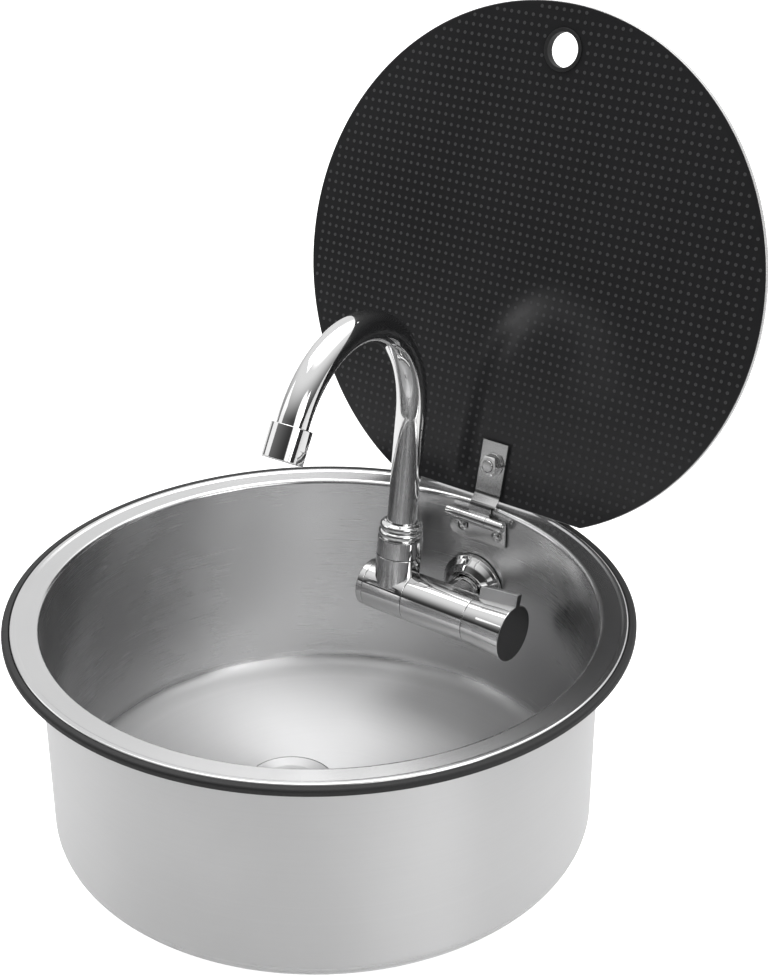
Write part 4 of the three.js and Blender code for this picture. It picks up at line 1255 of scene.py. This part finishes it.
    def knob(self, shop: Workshop) -> None:
        """Make the flared knob with its fin and the dark insert over its end, fin included; the insert's black is
        painted reflection of dark surroundings on the chrome end.
        """
        place = PLACES["tap"]
        left = self.body_right + GAP
        right = left + self.knob_length
        barrel = turned((0, left, 0), (self.body_radius, left, 0.5), (17.8, left + 10, 30), (18.8, left + 20, 30),
                        (self.knob_radius, right, 0.4), (0, right, 0), steps=128)
        grip = rounded([(left + 2.5, 8, 0), (right - 0.02, 8, 0), (right - 0.02, self.fin_reach, 0.5),
                        (left + 2.5, self.fin_reach - 2.6, 2.5)], closed=True, parts=6)
        fin = plate(grip, [], -self.fin_half, self.fin_half, 0.3, 3)
        lean = Matrix.Rotation(math.radians(-self.fin_lean), 4, "X")
        facing = ALONG_X @ Matrix.Rotation(math.radians(180 - self.fin_lean), 4, "Z")
        seat = plate(self.knob_end(0.55), [], right - 1.6, right + 5, 0)
        bore = turned((0, left - 3, 0), (7.6, left - 3, 0), (7.6, left + 6.4, 0), (4.3, left + 6.4, 0),
                      (4.3, right - 9, 0), (0, right - 9, 0), steps=64)
        shop.add(Body.KNOB, shop.finishes.chrome, "knob", "chrome", barrel.moved(place, ALONG_X),
                 (Cut.JOIN, fin.moved(place, lean, SWAP_YZ)), (Cut.TAKE, seat.moved(place, facing)),
                 (Cut.TAKE, bore.moved(place, ALONG_X)))
        # The cap's black, over the whole end and the fin's end, is painted reflection: the chrome end reflecting dark
        # surroundings.
        cap = plate(self.knob_end(0.7), [], right - 1.5, right - 0.15, 0.25)
        shop.add(Body.KNOB, shop.finishes.black, "knob_cap", "black", cap.moved(place, facing))

    def socket(self, shop: Workshop) -> None:
        """Make the folding socket, its end cap and the coupling nut."""
        chrome, place, at_riser = shop.finishes.chrome, PLACES["arm"], shift(RISER_X)
        r, left, right, top = self.body_radius, self.socket_left, self.body_left - GAP, self.cup_top
        spigot = turned((0, right - 3, 0), (8.6, right - 3, 0), (8.6, right + 5, 0), (7.0, right + 5, 0),
                        (7.0, right + 8.4, 0), (8.6, right + 8.4, 0), (8.6, right + 12, 0.5), (0, right + 12, 0),
                        steps=64)
        seam = plate(rectangle(right, right + 12, -40, 40), [], -30, 60, 0)
        changes = [(kind, solid.moved(place, *ways)) for kind, solid, *ways in (
            (Cut.JOIN, rod(self.cup_radius, 4, top, (0, 0.5), 96), at_riser),
            (Cut.TAKE, seam),
            (Cut.JOIN, rod(self.cup_thread, 10, top + 6, (0, 0.4), 72), at_riser),
            (Cut.JOIN, spigot, ALONG_X),
            (Cut.TAKE, rod(self.waterway, RISER_X, 5, steps=48), ALONG_X),
            (Cut.TAKE, rod(self.waterway, -5, top + 10, steps=48), at_riser),
            (Cut.TAKE, rod(self.tube + 0.6, 26, top + 10), at_riser))]
        barrel = rod(r, left, right, (0.5, 0.5), 96)
        shop.add(Body.ARM, chrome, "swing_socket", "chrome", barrel.moved(place, ALONG_X), *changes)
        cap = rod(r - 0.2, self.end_cap_left, left - GAP, (1.1, 0.4), 96)
        shop.add(Body.ARM, chrome, "end_cap", "chrome", cap.moved(place, ALONG_X))
        low, inside, bore = top + GAP, 13.9, self.tube + 0.4
        beads = [point for middle, radius in ((44.9, 15.6), (50.0, 14.8))
                 for point in arc(radius - 2.5, middle, 2.5, -80, 80, 12)]
        profile = [(inside, low), (self.cup_radius - 0.4, low), (self.cup_radius, low + 0.4),
                   (self.cup_radius, 40.7), (self.cup_radius - 0.25, 41.3), (self.cup_radius - 0.9, 41.6),
                   (13.4, 41.8), *beads, (12.4, 52.7), (12.0, self.nut_top), (bore, self.nut_top), (bore, 36),
                   (inside, 36)]
        shop.add(Body.ARM, chrome, "spout_nut", "chrome", revolve(profile, 96, closed=True).moved(place, at_riser))

    def neck_path(self, parts: int = 90) -> list[tuple[Vector, Vector]]:
        """Return the points and directions down the middle of the gooseneck."""
        out = []
        for i in range(7):
            height = self.riser_bottom + (self.riser_top - self.riser_bottom) * i / 6
            out.append((Vector((0, 0, height)), Vector((0, 0, 1))))
        for i in range(1, parts + 1):
            angle = math.radians(self.sweep) * i / parts
            out.append((Vector((0, -self.neck * (1 - math.cos(angle)), self.riser_top + self.neck * math.sin(angle))),
                        Vector((0, -math.sin(angle), math.cos(angle)))))
        last, along = out[-1]
        return out + [(last + along * self.tail, along)]

    def spout(self, shop: Workshop) -> None:
        """Make the gooseneck with its aerator."""
        chrome, place = shop.finishes.chrome, PLACES["spout"]
        path = self.neck_path()
        neck = tube(path, self.tube, self.tube - self.tube_wall)
        shop.add(Body.SPOUT, chrome, "gooseneck_spout", "chrome", neck.moved(place))
        end, _ = path[-1]
        outlet = place @ Matrix.Translation(end) @ Matrix.Rotation(math.radians(self.sweep), 4, "X")
        low, high = -8.0, self.aerator_length - 8.0
        r, bore = self.aerator, self.tube + GAP
        shell = ring((bore, low, 0.1), (r, low, 0.6), (r, high, 0.9), (10.4, high, 0.4), (10.4, high - 2, 0),
                     (11.4, high - 2, 0), (11.4, 1.6, 0), (bore, 1.0, 0), steps=96)
        flat = plate(rectangle(-2, 2, -14, 14), [], high - 9, high + 1, 0.4)
        flats = [(Cut.TAKE, flat.moved(outlet, shift(side * (r + 1.2)))) for side in (-1, 1)]
        shop.add(Body.SPOUT, chrome, "aerator_shell", "chrome", shell.moved(outlet), *flats)
        holes = [circle(0, 0, 1.4, 24)] + around(5, 4.6, 1.1, 24) + around(7, 8.4, 1.1, 24)
        insert = plate(circle(0, 0, 11.1, 72), holes, 3, high - 2 - GAP, 0.2)
        shop.add(Body.SPOUT, shop.finishes.grey, "aerator_insert", "grey", insert.moved(outlet))

    def build(self, shop: Workshop) -> None:
        """Make the whole tap."""
        for make in (self.body, self.fixing, self.knob, self.socket, self.spout):
            make(shop)


# ---------------------------------------------------------------- drain
@dataclass
class Drain:
    """The drain flange with its strainer, and the tail below the floor."""

    radius: float = 29.4
    bore: float = 17.0
    tube: float = 19.2
    nut: float = 24.0
    lobe: float = 4.5
    tail_bore: float = 10.5
    tail_end: float = -62.3

    def build(self, shop: Workshop) -> None:
        """Make the drain."""
        rubber, satin, grey = shop.finishes.rubber, shop.finishes.satin, shop.finishes.grey
        bore, outer, rim, inner = self.bore, self.tube, self.radius, self.tube + GAP
        seat = 0.8 + GAP + 0.8 + GAP
        flange = ring((bore, -26, 0.2), (outer, -26, 0.2), (outer, seat, 0), (rim, seat, 0.2), (rim, seat + 1.15, 0.2),
                      (bore + 3, seat + 1.0, 1.2), (bore + 1.2, seat - 0.6, 1.0), (bore + 1, -2.4, 0.2),
                      (bore - 1.6, -2.4, 0.2), (bore - 1.6, -3.8, 0), (bore, -4.4, 0), steps=96)
        holes = [circle(0, 0, 2.6, 32)] + around(6, 10.4, 4.2, 40, math.radians(-53))
        strainer = plate(circle(0, 0, bore + 0.6, 96), holes, -2.1, -1.3, 0.2)
        outline: list[Point2] = []
        for turn in range(0, 360, 45):
            middle = (self.nut * math.cos(math.radians(turn)), self.nut * math.sin(math.radians(turn)))
            outline += arc(*middle, self.lobe, turn - 52, turn + 52, 12)
        nut = plate(outline, [circle(0, 0, outer + 2 * GAP)], -14.6, -5, 0.6)
        end, inside = self.tail_end, self.tail_bore
        barbs = [corner for i in (2, 1, 0)
                 for corner in ((inside + 3.4, end + 7 + i * 7, 0.5), (inside + 2.2, end + 2 + i * 7, 0.2))]
        tail = ring((inside, end, 0.2), (inside, -30.5, 2), (inner, -26.6, 0.5), (inner, -16, 0.2), (23.6, -16, 0.6),
                    (23.6, -27.5, 1), (22, -29.5, 1), (inside + 3, -33.5, 1), *barbs, (inside + 1.6, end, 0.3),
                    steps=96)
        for finish, node, suffix, solid in (
                (satin, "drain_flange", "steel", flange), (satin, "drain_strainer", "steel", strainer),
                (rubber, "drain_seal_top", "rubber", washer(inner, rim - 1, 1.1, 1.9)),
                (rubber, "drain_seal", "rubber", washer(inner, 27, -3.3, -0.3, 0.5)),
                (shop.finishes.white, "drain_washer", "white", washer(inner, 27, -4.7, -3.6)),
                (grey, "drain_nut", "grey", nut), (grey, "drain_tail", "grey", tail)):
            shop.add(Body.ROOT, finish, node, suffix, solid.moved(PLACES["drain"]))


# ---------------------------------------------------------------- studio
def aimed(place: Vector, ray: Vector) -> Matrix:
    """Return the place, given in millimetres, of a camera or lamp that looks along a ray."""
    return Matrix.Translation(place * MM) @ ray.to_track_quat("-Z", "Y").to_matrix().to_4x4()


@dataclass(frozen=True)
class Glow:
    """A soft round patch of sky."""

    toward: Point3
    edge: float
    core: float
    low: float
    high: float


@dataclass(frozen=True)
class Lamp:
    """A square soft lamp, with sizes in millimetres and power in watts."""

    name: str
    place: Point3
    aim: Point3
    size: float
    power: float


@dataclass
class Studio:
    """Camera, floor, sky and lamps."""

    eye: Point3 = (634.2, -783.8, 594.8)
    look: Point3 = (-0.526, 0.713, -0.464)
    roll: float = 0.14
    focal: float = 1881.0
    centre: Point2 = (393.3, 514.5)
    width: int = 768
    height: int = 976
    sensor: float = 36.0
    floor: float = -214.5
    floor_half: float = 6000.0
    floor_grey: float = 0.82
    floor_seen: float = 0.8
    floor_mirrored: float = 0.06
    glows: tuple[Glow, ...] = (
        Glow((-0.15, 0.48, 0.86), -0.05, 0.65, 0.04, 0.98),
        Glow((0.1, 0.4, 0.9), 0.80, 0.97, 0.0, 1.5),
        Glow((0.807, -0.376, 0.454), 0.960, 0.988, 0.0, 2.0),
    )
    lamps: tuple[Lamp, ...] = (
        Lamp("lamp_above", (-500, 300, 1700), (0, 0, 0), 1200, 9),
        Lamp("lamp_left", (-1500, -700, 700), (0, 0, 50), 900, 2.5),
        Lamp("lamp_right", (1500, -200, 600), (0, 0, 50), 500, 3),
    )

    def camera(self) -> None:
        """Place the camera where the photograph was taken."""
        data = bpy.data.cameras.new("camera")
        camera = add_object("camera", data)
        data.sensor_fit = "VERTICAL"
        data.sensor_height = self.sensor
        data.lens = self.focal / self.height * self.sensor
        data.shift_x = (self.width / 2 - self.centre[0]) / self.height
        data.shift_y = (self.centre[1] - self.height / 2) / self.height
        data.clip_end = 50
        roll = Matrix.Rotation(math.radians(self.roll), 4, "Z")
        camera.matrix_world = aimed(Vector(self.eye), Vector(self.look)) @ roll
        bpy.context.scene.camera = camera

    def ground(self) -> None:
        """Make the pale floor, white to the camera and shaded by the sink."""
        half = self.floor_half
        solid = plate(rectangle(-half, half, -half, half), [], self.floor - 10, self.floor, 0)
        floor = add_object("floor", to_mesh(solid, "floor"))
        graph = Graph("pale_floor")
        graph.shader.inputs["Base Color"].default_value = (self.floor_grey, self.floor_grey, self.floor_grey, 1)
        graph.fixed(Roughness=0.9, Specular_IOR_Level=0.1)
        path = graph.add("ShaderNodeLightPath")
        glow = graph.add("ShaderNodeEmission")
        both = graph.add("ShaderNodeAddShader")
        graph.link(graph.math("ADD", graph.math("MULTIPLY", path.outputs["Is Camera Ray"], self.floor_seen),
                              graph.math("MULTIPLY", path.outputs["Is Glossy Ray"], self.floor_mirrored)),
                   glow.inputs["Strength"])
        graph.link(graph.shader.outputs[0], both.inputs[0])
        graph.link(glow.outputs[0], both.inputs[1])
        graph.link(both.outputs[0], graph.output.inputs["Surface"])
        floor.data.materials.append(graph.material)

    def sky(self) -> None:
        """Make the world: white to the camera, and bright above and behind the sink."""
        world = bpy.data.worlds.new("studio")
        bpy.context.scene.world = world
        world.use_nodes = True
        nodes = Nodes(world.node_tree)
        world.node_tree.nodes.clear()
        place = nodes.add("ShaderNodeTexCoord").outputs["Generated"]
        total = 0.0
        for glow in self.glows:
            toward = nodes.add("ShaderNodeVectorMath", operation="DOT_PRODUCT")
            toward.inputs[1].default_value = Vector(glow.toward).normalized()
            nodes.link(place, toward.inputs[0])
            total = nodes.math("ADD", total, nodes.ranged(toward.outputs["Value"], glow.edge, glow.core, glow.low,
                                                          glow.high, "SMOOTHSTEP"))
        mix = nodes.add("ShaderNodeMixShader")
        for strength, socket in ((total, mix.inputs[1]), (1.0, mix.inputs[2])):
            light = nodes.add("ShaderNodeBackground")
            light.inputs["Color"].default_value = (1, 1, 1, 1)
            nodes.give(strength, light.inputs["Strength"])
            nodes.link(light.outputs[0], socket)
        nodes.link(nodes.add("ShaderNodeLightPath").outputs["Is Camera Ray"], mix.inputs[0])
        nodes.link(mix.outputs[0], nodes.add("ShaderNodeOutputWorld").inputs["Surface"])

    def build(self) -> None:
        """Make the studio."""
        self.camera()
        self.ground()
        self.sky()
        for lamp in self.lamps:
            data = bpy.data.lights.new(lamp.name, "AREA")
            data.size = lamp.size * MM
            data.energy = lamp.power
            light = add_object(lamp.name, data)
            light.matrix_world = aimed(Vector(lamp.place), Vector(lamp.aim) - Vector(lamp.place))
        bpy.context.scene.view_settings.view_transform = "Standard"


def dress_hidden(frame: dict, finishes: Finishes) -> None:
    """Give the CAD nodes that stay their finishes.

    Args:
        finishes: The finishes.
    """
    for node, finish in (("cartridge_body", finishes.white), ("cartridge_ring", finishes.brass),
                         ("cartridge_stem", finishes.brass), ("knob_screw", finishes.bright),
                         ("spigot_oring", finishes.rubber)):
        mesh = frame["nodes"][node].data
        mesh.materials.clear()
        mesh.materials.append(finish.material)
        LOG.info("node %s keeps its shape", node)


def corners(box: tuple[Vector, Vector]) -> list[list[float]]:
    """Return a box as plain lists."""
    return [[float(value) for value in corner] for corner in box]


def main() -> None:
    """Build the sink and its studio."""
    logging.basicConfig(level=logging.INFO, format="%(name)s: %(message)s")
    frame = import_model()
    Studio().build()
    finishes = Finishes()
    shop = Workshop(finishes)
    Bowl().build(shop)
    strap_top = Lid().build(shop)
    Hinge().build(shop, strap_top)
    Tap().build(shop)
    Drain().build(shop)
    dress_hidden(frame, finishes)
    LOG.info("%d pieces made", shop.made)


if __name__ == "__main__":
    main()
